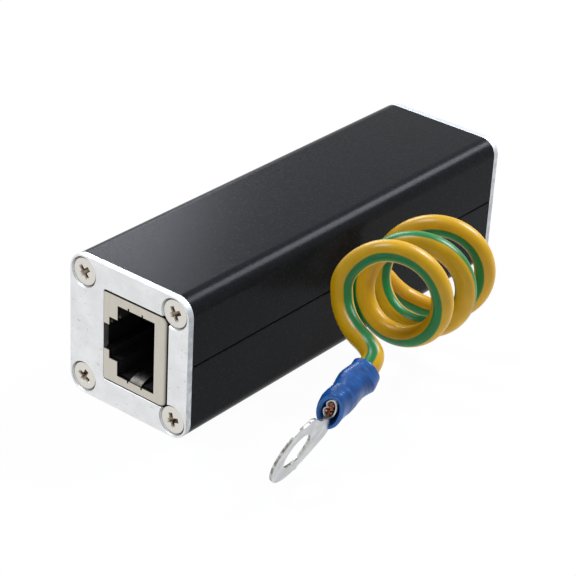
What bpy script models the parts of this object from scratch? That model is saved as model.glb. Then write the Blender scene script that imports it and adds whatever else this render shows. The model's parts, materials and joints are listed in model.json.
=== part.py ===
"""Ethernet surge protector: a split aluminium case, a network jack at each end, an earth wire.

The case lies along Y and stands on z = 0, centred on the origin. The front jack faces -Y, the
circuit board stands on edge at -X, and the earth wire leaves the seam on the +X side.
All sizes are in millimetres; meshes are scaled to metres when they are made.
"""
import math

import bmesh
import bpy
from mathutils import Matrix, Vector

MM = 0.001

# Fit between separate pieces
CLEARANCE = 0.3

# Case: two extruded shells between two end plates
OVERALL_LENGTH = 82.4
CASE_WIDTH = 25.0
CASE_HEIGHT = 25.0
CORNER_RADIUS = 3.0
WALL = 1.4
SEAM_HEIGHT = 13.2
LAP_HEIGHT = 1.2
PLATE_THICKNESS = 1.2

# Screws and the open ports that hold them
SCREW_INSET = 3.0
SCREW_HEAD_RADIUS = 2.35
SCREW_CORE_RADIUS = 0.95
SCREW_LENGTH = 7.0
SCREW_RIM = 0.1
RECESS_SPAN = 2.7
RECESS_WIDTH = 0.6
RECESS_DEPTH = 1.0
PORT_RADIUS = 2.2
PORT_SLOT = 0.9

# Circuit board, standing on edge between the screw ports and a rib
BOARD_THICKNESS = 1.6
RIB_THICKNESS = 0.9
RIB_DEPTH = 1.5

# Network jack; its own frame has x away from the board, y into the case, z across
JACK_SIDE_GAP = 2.95
JACK_EDGE_GAP = 3.2
JACK_DEPTH = 21.3
JACK_RECESS = 0.25
SHIELD_WALL = 0.3
SHIELD_BEND = 1.0
HOUSING_DEPTH = 16.3
SOCKET_FLOOR = 2.9
SOCKET_BROW = 2.55
SOCKET_SIDE = 1.55
SOCKET_DEPTH = 13.0
LATCH_STEP = 1.75
LATCH_SHOULDER_WIDTH = 7.5
LATCH_SLOT_WIDTH = 4.65
CUTOUT_MARGIN = 0.3
CUTOUT_RADIUS = 0.6
LEG_WIDTH = 1.6
LEG_SETBACK = 13.0
PIN_OVERHANG = 0.8
PEG_RADIUS = 1.3
PEG_INSET = 2.2
PEG_SETBACK = 9.0

# Spring contacts
CONTACT_COUNT = 8
CONTACT_PITCH_SHARE = 0.08
CONTACT_WIDTH_SHARE = 0.45
CONTACT_THICKNESS = 0.3
CONTACT_ROOF = 0.55
CONTACT_BEND = 4.4
CONTACT_TIP_DEPTH = 9.6
CONTACT_DROP_SHARE = 0.44
CONTACT_ROW_GAP = 2.1
PIN_HOLE_RADIUS = 0.55

# Protection parts on the board
TUBE_COUNT = 4
TUBE_RADIUS = 2.5
TUBE_CAP_RADIUS = 2.75
TUBE_CAP_SHARE = 0.19
PART_GAP = 0.5
JACK_MARGIN = 0.9
DIODE_LENGTH = 4.4
DIODE_WIDTH = 3.6
DIODE_THICKNESS = 2.3
DIODE_TAB_LENGTH = 5.4
DIODE_TAB_WIDTH = 2.1
DIODE_TAB_THICKNESS = 0.4
DIODE_DROP = 1.1

# Earth wire
WIRE_RADIUS = 1.8
WIRE_EXIT_Y = 5.0
GROMMET_WALL = 0.4
GROMMET_FLANGE = 0.5
GROMMET_LIP = 0.4
STRIP_LENGTH = 7.4
CONDUCTOR_RADIUS = 0.9
SOLDER_RADIUS = 1.8
SOLDER_HEIGHT = 1.3

# Earth wire's route from the point where it leaves the wall: hand-set points, three turns, a tail
LEAD_POINTS = [
    (0.0, 0.0, 0.0),
    (1.1, 0.0, 0.0),
    (2.5, 0.5, -1.0),
    (3.7, 1.8, -3.0),
    (5.5, 3.3, -4.8),
]
TURNS = 2.75
REAR_CENTRE = Vector((9.2, 6.4, 2.2))
FRONT_CENTRE = Vector((15.9, -17.9, 8.2))
CENTRE_BOW = Vector((0.4, 0.5, -1.4))
REAR_ACROSS = Vector((8.1, 2.7, 0.3))
FRONT_ACROSS = Vector((6.9, 1.9, 0.0))
REAR_UP = Vector((-0.2, 1.6, 8.2))
FRONT_UP = Vector((-0.3, 0.8, 7.1))
LEAD_JOIN = 0.375
TAIL_JOIN = 2.5
TAIL_POINTS = [
    (9.2, -18.9, 10.9),
    (8.7, -19.8, 8.9),
    (9.1, -20.4, 7.1),
    (10.1, -21.1, 5.3),
    (12.0, -22.1, 3.9),
    (14.6, -23.1, 2.9),
    (17.1, -23.9, 2.5),
    (18.9, -24.6, 1.6),
    (19.6, -26.1, 0.7),
]
WIRE_STEP = 1.1

# Ring terminal; its own frame has x along the sleeve, z up from the tongue's face
TERMINAL_REAR = Vector((19.6, -27.0, 0.3))
TERMINAL_AXIS = Vector((0.031, -0.917, -0.397))
TERMINAL_FACE = Vector((0.944, 0.157, -0.289))
SLEEVE_LENGTH = 9.8
SLEEVE_RADIUS = 2.6
SLEEVE_WALL = 0.4
SLEEVE_FLARE = 0.25
CRIMP_DEPTH = 0.4
WIRE_IN_SLEEVE = 2.3
BARREL_RADIUS = 1.4
BARREL_BORE = 1.1
STRAND_RADIUS = 0.8
TONGUE_THICKNESS = 0.6
TONGUE_REACH = 8.6
RING_RADIUS = 5.9
RING_HOLE_RADIUS = 3.25
SHOULDER_HALF_WIDTH = 3.4

# Places and sizes worked out from the sizes above
HALF_WIDTH = CASE_WIDTH / 2
SHELL_HALF_LENGTH = OVERALL_LENGTH / 2 - PLATE_THICKNESS - CLEARANCE
BOARD_BACK = SCREW_INSET + PORT_RADIUS + CLEARANCE - HALF_WIDTH
BOARD_FACE = BOARD_BACK + BOARD_THICKNESS
JACK_FACE = OVERALL_LENGTH / 2 - JACK_RECESS
JACK_BASE = BOARD_FACE + CLEARANCE
JACK_HEIGHT = HALF_WIDTH - WALL - JACK_SIDE_GAP - JACK_BASE
JACK_WIDTH = CASE_HEIGHT - 2 * (WALL + JACK_EDGE_GAP)
JACK_MIDDLE = CASE_HEIGHT / 2
SOCKET_ROOF = JACK_HEIGHT - SOCKET_BROW
SOCKET_WIDTH = JACK_WIDTH - 2 * SOCKET_SIDE
PEG_SPREAD = JACK_WIDTH / 2 - PEG_INSET
CONTACT_PITCH = CONTACT_PITCH_SHARE * SOCKET_WIDTH
CONTACT_WIDTH = CONTACT_WIDTH_SHARE * CONTACT_PITCH
CONTACT_DROP = CONTACT_DROP_SHARE * (SOCKET_ROOF - SOCKET_FLOOR)
PIN_REACH = CLEARANCE + BOARD_THICKNESS + PIN_OVERHANG
CONTACT_ROW = HOUSING_DEPTH + CLEARANCE + 0.8
PORT_HOLE = SCREW_CORE_RADIUS + CLEARANCE
GROMMET_BORE = WIRE_RADIUS + CLEARANCE
GROMMET_RADIUS = GROMMET_BORE + GROMMET_WALL
WIRE_HOLE_RADIUS = GROMMET_RADIUS + CLEARANCE
STRIP_X = BOARD_FACE + STRIP_LENGTH
TUBE_TOP = CASE_HEIGHT - WALL - RIB_DEPTH - PART_GAP
TUBE_BOTTOM = SEAM_HEIGHT + SOLDER_RADIUS + PART_GAP
TUBE_LENGTH = TUBE_TOP - TUBE_BOTTOM
PART_PITCH = 2 * (JACK_FACE - JACK_DEPTH - JACK_MARGIN - TUBE_CAP_RADIUS) / (TUBE_COUNT - 1)
DIODE_HEIGHT = SEAM_HEIGHT - SOLDER_RADIUS - DIODE_DROP - DIODE_TAB_LENGTH / 2
WIRE_EXIT = Vector((HALF_WIDTH, WIRE_EXIT_Y, SEAM_HEIGHT))


def clear_scene():
    """Remove the objects that the file opens with."""
    for item in list(bpy.data.objects):
        bpy.data.objects.remove(item, do_unlink=True)


def make_material(name, colour, roughness, metallic=0.0):
    """One Principled material with the part's own colour."""
    material = bpy.data.materials.new(name)
    material.use_nodes = True
    shader = material.node_tree.nodes["Principled BSDF"]
    shader.inputs["Base Color"].default_value = (*colour, 1.0)
    shader.inputs["Roughness"].default_value = roughness
    shader.inputs["Metallic"].default_value = metallic
    return material


def make_object(name, shape, material=None, smooth_angle=30.0):
    """Turn a bmesh in millimetres into a linked object in metres with outward faces."""
    bmesh.ops.recalc_face_normals(shape, faces=shape.faces)
    bmesh.ops.scale(shape, vec=(MM, MM, MM), verts=shape.verts)
    mesh = bpy.data.meshes.new(name)
    shape.to_mesh(mesh)
    shape.free()
    mesh.shade_smooth()
    mesh.set_sharp_from_angle(angle=math.radians(smooth_angle))
    piece = bpy.data.objects.new(name, mesh)
    if material:
        mesh.materials.append(material)
    bpy.context.collection.objects.link(piece)
    return piece


def use_tool(piece, tool_shape, operation="DIFFERENCE"):
    """Cut or join a hidden tool solid with a live Boolean."""
    tool = make_object(piece.name + "_tool_" + str(len(piece.modifiers)), tool_shape)
    tool.matrix_world = piece.matrix_world
    tool.hide_render = True
    tool.display_type = "WIRE"
    step = piece.modifiers.new(operation.lower(), "BOOLEAN")
    step.operation = operation
    step.solver = "EXACT"
    step.object = tool
    return tool


def settle(piece):
    """Replace a piece's mesh by the one its modifiers make, and drop its tools."""
    graph = bpy.context.evaluated_depsgraph_get()
    mesh = bpy.data.meshes.new_from_object(piece.evaluated_get(graph))
    tools = [step.object for step in piece.modifiers]
    piece.modifiers.clear()
    piece.data = mesh
    for tool in tools:
        bpy.data.objects.remove(tool, do_unlink=True)
    return mesh


def arc(centre, radius, start, end, steps):
    """Points on a circular arc, angles in degrees."""
    points = []
    for index in range(steps + 1):
        angle = math.radians(start + (end - start) * index / steps)
        points.append((centre[0] + radius * math.cos(angle), centre[1] + radius * math.sin(angle)))
    return points


def rounded_rectangle(low, high, radius, steps=5):
    """Outline of a rectangle with round corners."""
    x0, z0 = low
    x1, z1 = high
    points = arc((x1 - radius, z1 - radius), radius, 0, 90, steps)
    points += arc((x0 + radius, z1 - radius), radius, 90, 180, steps)
    points += arc((x0 + radius, z0 + radius), radius, 180, 270, steps)
    points += arc((x1 - radius, z0 + radius), radius, 270, 360, steps)
    return points


def prism(outline, y0, y1, shape=None):
    """Extrude an XZ outline along Y."""
    shape = shape or bmesh.new()
    near = [shape.verts.new((x, y0, z)) for x, z in outline]
    far = [shape.verts.new((x, y1, z)) for x, z in outline]
    shape.faces.new(near)
    shape.faces.new(far[::-1])
    count = len(outline)
    for index in range(count):
        after = (index + 1) % count
        shape.faces.new((near[index], far[index], far[after], near[after]))
    return shape


def block(low, high, shape=None):
    """A box between two corners."""
    outline = [(low[0], low[2]), (high[0], low[2]), (high[0], high[2]), (low[0], high[2])]
    return prism(outline, low[1], high[1], shape)


def turned(profile, steps, closed=False, place=None, shape=None):
    """Turn (radius, height) points about Z; a closed profile makes a ring."""
    shape = shape or bmesh.new()
    place = place or Matrix.Identity(4)
    rings = []
    for radius, height in profile:
        ring = []
        for index in range(steps):
            angle = 2 * math.pi * index / steps
            spot = Vector((radius * math.cos(angle), radius * math.sin(angle), height))
            ring.append(shape.verts.new(place @ spot))
        rings.append(ring)
    pairs = list(zip(rings, rings[1:]))
    if closed:
        pairs.append((rings[-1], rings[0]))
    else:
        shape.faces.new(rings[0])
        shape.faces.new(rings[-1][::-1])
    for first, second in pairs:
        for index in range(steps):
            after = (index + 1) % steps
            shape.faces.new((first[index], first[after], second[after], second[index]))
    return shape


def along(axis):
    """Turn +Z onto a row axis."""
    return Vector((0.0, 0.0, 1.0)).rotation_difference(Vector(axis)).to_matrix().to_4x4()


def cylinder(radius, start, end, steps=16, shape=None):
    """A cylinder between two points."""
    start = Vector(start)
    run = Vector(end) - start
    place = Matrix.Translation(start) @ along(run.normalized())
    return turned([(radius, 0.0), (radius, run.length)], steps, place=place, shape=shape)


def screw_port(side, level):
    """One open screw port of the extrusion, from the side wall round to the floor or roof."""
    meet = math.degrees(math.acos((SCREW_INSET - WALL) / PORT_RADIUS))
    outer_half = math.degrees(math.asin(PORT_SLOT / 2 / PORT_RADIUS))
    inner_half = math.degrees(math.asin(PORT_SLOT / 2 / PORT_HOLE))
    points = arc((0, 0), PORT_RADIUS, -meet, -135 + outer_half, 5)
    points += arc((0, 0), PORT_HOLE, -135 + inner_half, 225 - inner_half, 12)
    points += arc((0, 0), PORT_RADIUS, -135 - outer_half, -270 + meet, 5)
    middle = CASE_HEIGHT - SCREW_INSET if level > 0 else SCREW_INSET
    return [(side * (HALF_WIDTH - SCREW_INSET + x), middle + level * z) for x, z in points]


def shell_outline(level):
    """Section of one half of the extrusion: level 1 is the upper half, -1 the lower."""
    corner = CASE_HEIGHT - CORNER_RADIUS if level > 0 else CORNER_RADIUS
    inside = CASE_HEIGHT - WALL if level > 0 else WALL
    skin = (WALL - CLEARANCE) / 2
    lip = SEAM_HEIGHT + level * CLEARANCE / 2
    rebate = SEAM_HEIGHT + LAP_HEIGHT + (CLEARANCE if level > 0 else 0.0)
    step = HALF_WIDTH - (skin if level > 0 else skin + CLEARANCE)
    points = [(HALF_WIDTH, lip)]
    points += arc((HALF_WIDTH - CORNER_RADIUS, corner), CORNER_RADIUS, 0, level * 90, 8)
    points += arc((CORNER_RADIUS - HALF_WIDTH, corner), CORNER_RADIUS, level * 90, level * 180, 8)
    points += [(-HALF_WIDTH, lip), (-step, lip), (-step, rebate), (WALL - HALF_WIDTH, rebate)]
    points += screw_port(-1, level)
    rib = BOARD_FACE + CLEARANCE
    points += [(rib, inside), (rib, inside - level * RIB_DEPTH)]
    points += [(rib + RIB_THICKNESS, inside - level * RIB_DEPTH), (rib + RIB_THICKNESS, inside)]
    points += screw_port(1, level)[::-1]
    points += [(HALF_WIDTH - WALL, rebate), (step, rebate), (step, lip)]
    return points


def make_shells(material):
    """The two halves of the case, with the wire's hole on their seam."""
    for name, level in (("upper_shell", 1), ("lower_shell", -1)):
        section = prism(shell_outline(level), -SHELL_HALF_LENGTH, SHELL_HALF_LENGTH)
        shell = make_object(name, section, material)
        start = (HALF_WIDTH - WALL - 1.0, WIRE_EXIT_Y, SEAM_HEIGHT)
        end = (HALF_WIDTH + 1.0, WIRE_EXIT_Y, SEAM_HEIGHT)
        use_tool(shell, cylinder(WIRE_HOLE_RADIUS, start, end, 24))


def screw_places():
    """Axis of each end screw in X and Z."""
    spread = HALF_WIDTH - SCREW_INSET
    heights = (CASE_HEIGHT - SCREW_INSET, SCREW_INSET)
    return [(side * spread, height) for height in heights for side in (-1, 1)]


def make_plates(material):
    """End plates with the jack's cut-out and four countersunk holes."""
    outline = rounded_rectangle((-HALF_WIDTH, 0.0), (HALF_WIDTH, CASE_HEIGHT), CORNER_RADIUS, 8)
    cone = SCREW_HEAD_RADIUS - SCREW_CORE_RADIUS
    for name, end in (("front_plate", -1), ("rear_plate", 1)):
        outside = end * OVERALL_LENGTH / 2
        inside = end * (OVERALL_LENGTH / 2 - PLATE_THICKNESS)
        plate = make_object(name, prism(outline, outside, inside), material)
        reach = JACK_WIDTH / 2 + CUTOUT_MARGIN
        low = (JACK_BASE - CUTOUT_MARGIN / 3, JACK_MIDDLE - reach)
        high = (JACK_BASE + JACK_HEIGHT + CUTOUT_MARGIN, JACK_MIDDLE + reach)
        window = rounded_rectangle(low, high, CUTOUT_RADIUS)
        use_tool(plate, prism(window, outside + end, inside - end))
        holes = bmesh.new()
        for x, z in screw_places():
            place = Matrix.Translation((x, outside, z)) @ along((0, end, 0))
            flare = SCREW_HEAD_RADIUS + CLEARANCE
            profile = [(flare, 0.5), (flare, -SCREW_RIM), (flare - cone, -SCREW_RIM - cone)]
            profile.append((flare - cone, -PLATE_THICKNESS - 0.5))
            turned(profile, 24, place=place, shape=holes)
        use_tool(plate, holes)


def make_screws(material):
    """Eight countersunk screws with a cross recess, sharing one mesh."""
    cone = SCREW_HEAD_RADIUS - SCREW_CORE_RADIUS
    profile = [(SCREW_HEAD_RADIUS, 0), (SCREW_HEAD_RADIUS, -SCREW_RIM)]
    profile += [(SCREW_CORE_RADIUS, -SCREW_RIM - cone), (SCREW_CORE_RADIUS, -SCREW_LENGTH + 0.6)]
    profile.append((SCREW_CORE_RADIUS * 0.5, -SCREW_LENGTH))
    model = make_object("end_screw_1", turned(profile, 24), material)
    span = RECESS_SPAN / 2
    slot = RECESS_WIDTH / 2
    cross = [(span, slot), (slot, slot), (slot, span), (-slot, span), (-slot, slot), (-span, slot)]
    recess = prism(cross + [(-x, -z) for x, z in cross], -RECESS_DEPTH, 1.0)
    bmesh.ops.rotate(recess, verts=recess.verts, matrix=Matrix.Rotation(math.pi / 2, 3, "X"))
    use_tool(model, recess)
    mesh = settle(model)
    number = 0
    for end in (-1, 1):
        for x, z in screw_places():
            number += 1
            screw = model
            if number > 1:
                screw = bpy.data.objects.new("end_screw_" + str(number), mesh)
                bpy.context.collection.objects.link(screw)
            screw.location = Vector((x, end * OVERALL_LENGTH / 2, z)) * MM
            screw.rotation_euler = along((0, end, 0)).to_euler()


def place_in_jack(piece, end):
    """Put a piece made in the jack's frame at one end; the rear jack is turned about X."""
    piece.location = Vector((JACK_BASE, end * JACK_FACE, JACK_MIDDLE)) * MM
    piece.rotation_euler = (0.0 if end < 0 else math.pi, 0.0, 0.0)
    return piece


def socket_outline(top):
    """Outline of the plug's opening: the cavity, the latch shoulder and the latch slot."""
    half = SOCKET_WIDTH / 2
    shoulder = LATCH_SHOULDER_WIDTH / 2
    slot = LATCH_SLOT_WIDTH / 2
    low = SOCKET_FLOOR - LATCH_STEP
    right = [(-1.0, slot), (low, slot), (low, shoulder), (SOCKET_FLOOR, shoulder)]
    right += [(SOCKET_FLOOR, half), (top, half)]
    return right + [(x, -z) for x, z in right[::-1]]


def make_shields(material):
    """Folded metal shields, open towards the board, with two legs each."""
    half = JACK_WIDTH / 2
    outline = [(0.0, -half), (0.0, half)]
    outline += arc((JACK_HEIGHT - SHIELD_BEND, half - SHIELD_BEND), SHIELD_BEND, 90, 0, 4)
    outline += arc((JACK_HEIGHT - SHIELD_BEND, SHIELD_BEND - half), SHIELD_BEND, 0, -90, 4)
    for name, end in (("front_jack_shield", -1), ("rear_jack_shield", 1)):
        shield = make_object(name, prism(outline, 0.0, JACK_DEPTH), material)
        inner = half - SHIELD_WALL
        bend = SHIELD_BEND - SHIELD_WALL
        roof = JACK_HEIGHT - SHIELD_WALL
        hollow = [(-1.0, -inner), (-1.0, inner)]
        hollow += arc((roof - bend, inner - bend), bend, 90, 0, 4)
        hollow += arc((roof - bend, bend - inner), bend, 0, -90, 4)
        use_tool(shield, prism(hollow, SHIELD_WALL, JACK_DEPTH - SHIELD_WALL))
        use_tool(shield, prism(socket_outline(SOCKET_ROOF), -1.0, SHIELD_WALL + 0.5))
        legs = bmesh.new()
        for side in (-1, 1):
            sides = sorted((side * half, side * inner))
            low = (-PIN_REACH, LEG_SETBACK - LEG_WIDTH / 2, sides[0])
            block(low, (1.0, LEG_SETBACK + LEG_WIDTH / 2, sides[1]), legs)
        use_tool(shield, legs, "UNION")
        settle(shield)
        place_in_jack(shield, end)


def make_housings(material):
    """Moulded jack bodies with the stepped socket, the contact pocket and two pegs."""
    half = JACK_WIDTH / 2 - SHIELD_WALL - CLEARANCE
    roof = JACK_HEIGHT - SHIELD_WALL - CLEARANCE
    face = SHIELD_WALL + CLEARANCE
    pocket = CONTACT_COUNT * CONTACT_PITCH / 2 + CLEARANCE / 2
    for name, end in (("front_jack_housing", -1), ("rear_jack_housing", 1)):
        body = make_object(name, block((0.0, face, -half), (roof, HOUSING_DEPTH, half)), material)
        use_tool(body, prism(socket_outline(SOCKET_ROOF), -1.0, SOCKET_DEPTH))
        low = (SOCKET_ROOF - 0.2, CONTACT_BEND - 2.0, -pocket)
        use_tool(body, block(low, (roof - CONTACT_ROOF, HOUSING_DEPTH + 1.0, pocket)))
        pegs = bmesh.new()
        for side in (-1, 1):
            top = (1.0, PEG_SETBACK, side * PEG_SPREAD)
            cylinder(PEG_RADIUS, top, (-PIN_REACH, PEG_SETBACK, side * PEG_SPREAD), 16, pegs)
        use_tool(body, pegs, "UNION")
        settle(body)
        place_in_jack(body, end)


def ribbon(path, thickness, width):
    """A flat strip that follows an XY path, its width along Z."""
    spots = [Vector(point) for point in path]
    left = []
    right = []
    for index, spot in enumerate(spots):
        before = (spot - spots[index - 1]).normalized() if index else None
        after = (spots[index + 1] - spot).normalized() if index + 1 < len(spots) else None
        lead = before or after
        follow = after or before
        normal = Vector((-(lead.y + follow.y), lead.x + follow.x)).normalized()
        reach = thickness / 2 / max(0.5, normal.dot(Vector((-lead.y, lead.x))))
        left.append(spot + normal * reach)
        right.append(spot - normal * reach)
    outline = left + right[::-1]
    shape = bmesh.new()
    near = [shape.verts.new((spot.x, spot.y, -width / 2)) for spot in outline]
    far = [shape.verts.new((spot.x, spot.y, width / 2)) for spot in outline]
    count = len(spots)
    total = len(outline)
    for index in range(count - 1):
        other = total - 1 - index
        shape.faces.new((near[index], near[index + 1], near[other - 1], near[other]))
        shape.faces.new((far[other], far[other - 1], far[index + 1], far[index]))
    for index in range(total):
        after = (index + 1) % total
        shape.faces.new((near[index], far[index], far[after], near[after]))
    return shape


def contact_path(row):
    """Side view of one spring contact: tip in the socket, bend, run along the roof, pin."""
    roof = JACK_HEIGHT - SHIELD_WALL - CLEARANCE - CONTACT_ROOF
    run = roof - CLEARANCE - CONTACT_THICKNESS / 2
    pin = CONTACT_ROW + row * CONTACT_ROW_GAP
    tip = SOCKET_ROOF - CONTACT_DROP
    path = [(tip, CONTACT_TIP_DEPTH), (run - 0.75, CONTACT_BEND + 0.25), (run - 0.3, CONTACT_BEND)]
    path += [(run - 0.05, CONTACT_BEND + 0.3), (run, CONTACT_BEND + 0.8)]
    path += [(run, pin - 0.4), (run - 0.4, pin), (-PIN_REACH, pin)]
    return path


def make_contacts(material):
    """Eight spring contacts for each jack, their pins in two rows."""
    meshes = []
    for row in (0, 1):
        shape = ribbon(contact_path(row), CONTACT_THICKNESS, CONTACT_WIDTH)
        model = make_object("contact_model", shape, material)
        meshes.append(model.data)
        bpy.data.objects.remove(model)
    for prefix, end in (("front_contact_", -1), ("rear_contact_", 1)):
        for index in range(CONTACT_COUNT):
            contact = bpy.data.objects.new(prefix + str(index + 1), meshes[index % 2])
            bpy.context.collection.objects.link(contact)
            place_in_jack(contact, end)
            offset = (index - (CONTACT_COUNT - 1) / 2) * CONTACT_PITCH
            contact.location.z += (offset if end < 0 else -offset) * MM


def board_hole(holes, end, setback, across, radius, steps):
    """One hole through the board, placed in a jack's frame."""
    y = end * (JACK_FACE - setback)
    z = JACK_MIDDLE - end * across
    cylinder(radius, (BOARD_BACK - 1.0, y, z), (BOARD_FACE + 1.0, y, z), steps, holes)


def make_board(material):
    """The circuit board with holes for legs, pegs, contact pins and the earth wire."""
    low = (BOARD_BACK, CLEARANCE - SHELL_HALF_LENGTH, WALL + CLEARANCE)
    high = (BOARD_FACE, SHELL_HALF_LENGTH - CLEARANCE, CASE_HEIGHT - WALL - CLEARANCE)
    board = make_object("circuit_board", block(low, high), material)
    holes = bmesh.new()
    leg_radius = math.hypot(LEG_WIDTH, SHIELD_WALL) / 2 + CLEARANCE
    for end in (-1, 1):
        for side in (-1, 1):
            leg = side * (JACK_WIDTH - SHIELD_WALL) / 2
            board_hole(holes, end, LEG_SETBACK, leg, leg_radius, 12)
            board_hole(holes, end, PEG_SETBACK, side * PEG_SPREAD, PEG_RADIUS + CLEARANCE, 16)
        for index in range(CONTACT_COUNT):
            offset = (index - (CONTACT_COUNT - 1) / 2) * CONTACT_PITCH
            pin = CONTACT_ROW + index % 2 * CONTACT_ROW_GAP
            board_hole(holes, end, pin, offset, PIN_HOLE_RADIUS, 8)
    start = (BOARD_BACK - 1.0, WIRE_EXIT_Y, SEAM_HEIGHT)
    end = (BOARD_FACE + 1.0, WIRE_EXIT_Y, SEAM_HEIGHT)
    cylinder(CONDUCTOR_RADIUS + CLEARANCE, start, end, 16, holes)
    use_tool(board, holes)


def part_places():
    """Places along the board of the protection parts, between the jacks."""
    return [(index - (TUBE_COUNT - 1) / 2) * PART_PITCH for index in range(TUBE_COUNT)]


def make_tubes(material):
    """Gas discharge tubes: a ceramic body between two metal end caps."""
    half = TUBE_LENGTH / 2
    inner = half - TUBE_CAP_SHARE * TUBE_LENGTH
    profile = [(TUBE_CAP_RADIUS, -half), (TUBE_CAP_RADIUS, -inner), (TUBE_RADIUS, -inner)]
    profile += [(TUBE_RADIUS, inner), (TUBE_CAP_RADIUS, inner), (TUBE_CAP_RADIUS, half)]
    model = make_object("discharge_tube_1", turned(profile, 24), material)
    for number, y in enumerate(part_places(), start=1):
        tube = model
        if number > 1:
            tube = bpy.data.objects.new("discharge_tube_" + str(number), model.data)
            bpy.context.collection.objects.link(tube)
        middle = (TUBE_TOP + TUBE_BOTTOM) / 2
        tube.location = Vector((BOARD_FACE + CLEARANCE + TUBE_CAP_RADIUS, y, middle)) * MM


def make_diodes(material):
    """Clamping diodes: a tapered moulded body on a pair of solder tabs."""
    side = DIODE_LENGTH / 2
    draft = 0.25
    high = DIODE_THICKNESS
    outline = [(0.2, draft - side), (high / 2, -side), (high, draft - side)]
    outline += [(high, side - draft), (high / 2, side), (0.2, side - draft)]
    model = make_object("diode_1", prism(outline, -DIODE_WIDTH / 2, DIODE_WIDTH / 2), material)
    low = (0.0, -DIODE_TAB_WIDTH / 2, -DIODE_TAB_LENGTH / 2)
    high = (DIODE_TAB_THICKNESS, DIODE_TAB_WIDTH / 2, DIODE_TAB_LENGTH / 2)
    use_tool(model, block(low, high), "UNION")
    mesh = settle(model)
    for number, y in enumerate(part_places(), start=1):
        diode = model
        if number > 1:
            diode = bpy.data.objects.new("diode_" + str(number), mesh)
            bpy.context.collection.objects.link(diode)
        diode.location = Vector((BOARD_FACE + CLEARANCE, y, DIODE_HEIGHT)) * MM


def make_grommet(material):
    """The bushing that lines the wire's hole, with a lip on each side of the wall."""
    lip = WIRE_HOLE_RADIUS + GROMMET_LIP
    outside = HALF_WIDTH + CLEARANCE
    inside = HALF_WIDTH - WALL - CLEARANCE
    profile = [(GROMMET_BORE, inside - GROMMET_FLANGE), (lip, inside - GROMMET_FLANGE), (lip, inside)]
    profile += [(GROMMET_RADIUS, inside), (GROMMET_RADIUS, outside), (lip, outside)]
    profile += [(lip, outside + GROMMET_FLANGE), (GROMMET_BORE, outside + GROMMET_FLANGE)]
    place = Matrix.Translation((0.0, WIRE_EXIT_Y, SEAM_HEIGHT)) @ along((1, 0, 0))
    make_object("wire_grommet", turned(profile, 24, closed=True, place=place), material)


def make_conductor(material):
    """The stripped, tinned end of the earth wire, soldered through the board."""
    front = BOARD_FACE + CLEARANCE
    back = BOARD_BACK - CLEARANCE
    thin = CONDUCTOR_RADIUS
    profile = [(thin, STRIP_X - CLEARANCE), (thin, front + SOLDER_HEIGHT), (SOLDER_RADIUS, front)]
    profile += [(thin, front), (thin, back), (SOLDER_RADIUS, back)]
    profile.append((thin, back - SOLDER_HEIGHT))
    place = Matrix.Translation((0.0, WIRE_EXIT_Y, SEAM_HEIGHT)) @ along((1, 0, 0))
    make_object("earth_conductor", turned(profile, 16, place=place), material)


def coil_point(turn):
    """Centre of the wire after a number of turns of the coil."""
    share = turn / TURNS
    centre = REAR_CENTRE.lerp(FRONT_CENTRE, share) + CENTRE_BOW * 4 * share * (1 - share)
    across = REAR_ACROSS.lerp(FRONT_ACROSS, share)
    up = REAR_UP.lerp(FRONT_UP, share)
    angle = 2 * math.pi * turn
    return WIRE_EXIT + centre + across * math.sin(angle) - up * math.cos(angle)


def coil_points(start, end, per_turn=16):
    """Points along part of the coil."""
    count = round((end - start) * per_turn)
    return [coil_point(start + (end - start) * index / count) for index in range(count + 1)]


def smooth_route(points, step):
    """Evenly spaced points on a Catmull-Rom curve through the given points."""
    spots = [Vector(point) for point in points]
    spots = [spots[0] * 2 - spots[1]] + spots + [spots[-1] * 2 - spots[-2]]
    dense = []
    for index in range(1, len(spots) - 2):
        a, b, c, d = spots[index - 1:index + 3]
        for part in range(12):
            t = part / 12
            bend = (2 * a - 5 * b + 4 * c - d) * t * t + (3 * b - a - 3 * c + d) * t ** 3
            dense.append((2 * b + (c - a) * t + bend) / 2)
    dense.append(spots[-2])
    length = sum((after - before).length for before, after in zip(dense, dense[1:]))
    count = round(length / step)
    route = [dense[0]]
    walked = 0.0
    for before, after in zip(dense, dense[1:]):
        span = (after - before).length
        while len(route) < count and walked + span >= length * len(route) / count:
            route.append(before.lerp(after, (length * len(route) / count - walked) / span))
        walked += span
    route.append(dense[-1])
    return route


def make_wire(name, points, material, step=WIRE_STEP):
    """A round wire as a curve with filled ends."""
    curve = bpy.data.curves.new(name, "CURVE")
    curve.dimensions = "3D"
    curve.bevel_depth = WIRE_RADIUS * MM
    curve.bevel_resolution = 2
    curve.use_fill_caps = True
    route = smooth_route(points, step)
    spline = curve.splines.new("POLY")
    spline.points.add(len(route) - 1)
    for knot, spot in zip(spline.points, route):
        knot.co = (*(spot * MM), 1.0)
    curve.materials.append(material)
    wire = bpy.data.objects.new(name, curve)
    bpy.context.collection.objects.link(wire)
    return wire


def terminal_place():
    """Frame of the ring terminal: x along the sleeve, z out of the tongue's face."""
    axis = TERMINAL_AXIS.normalized()
    side = TERMINAL_FACE.cross(axis).normalized()
    face = axis.cross(side)
    turn = Matrix((axis, side, face)).transposed().to_4x4()
    return Matrix.Translation((WIRE_EXIT + TERMINAL_REAR) * MM) @ turn


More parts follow.
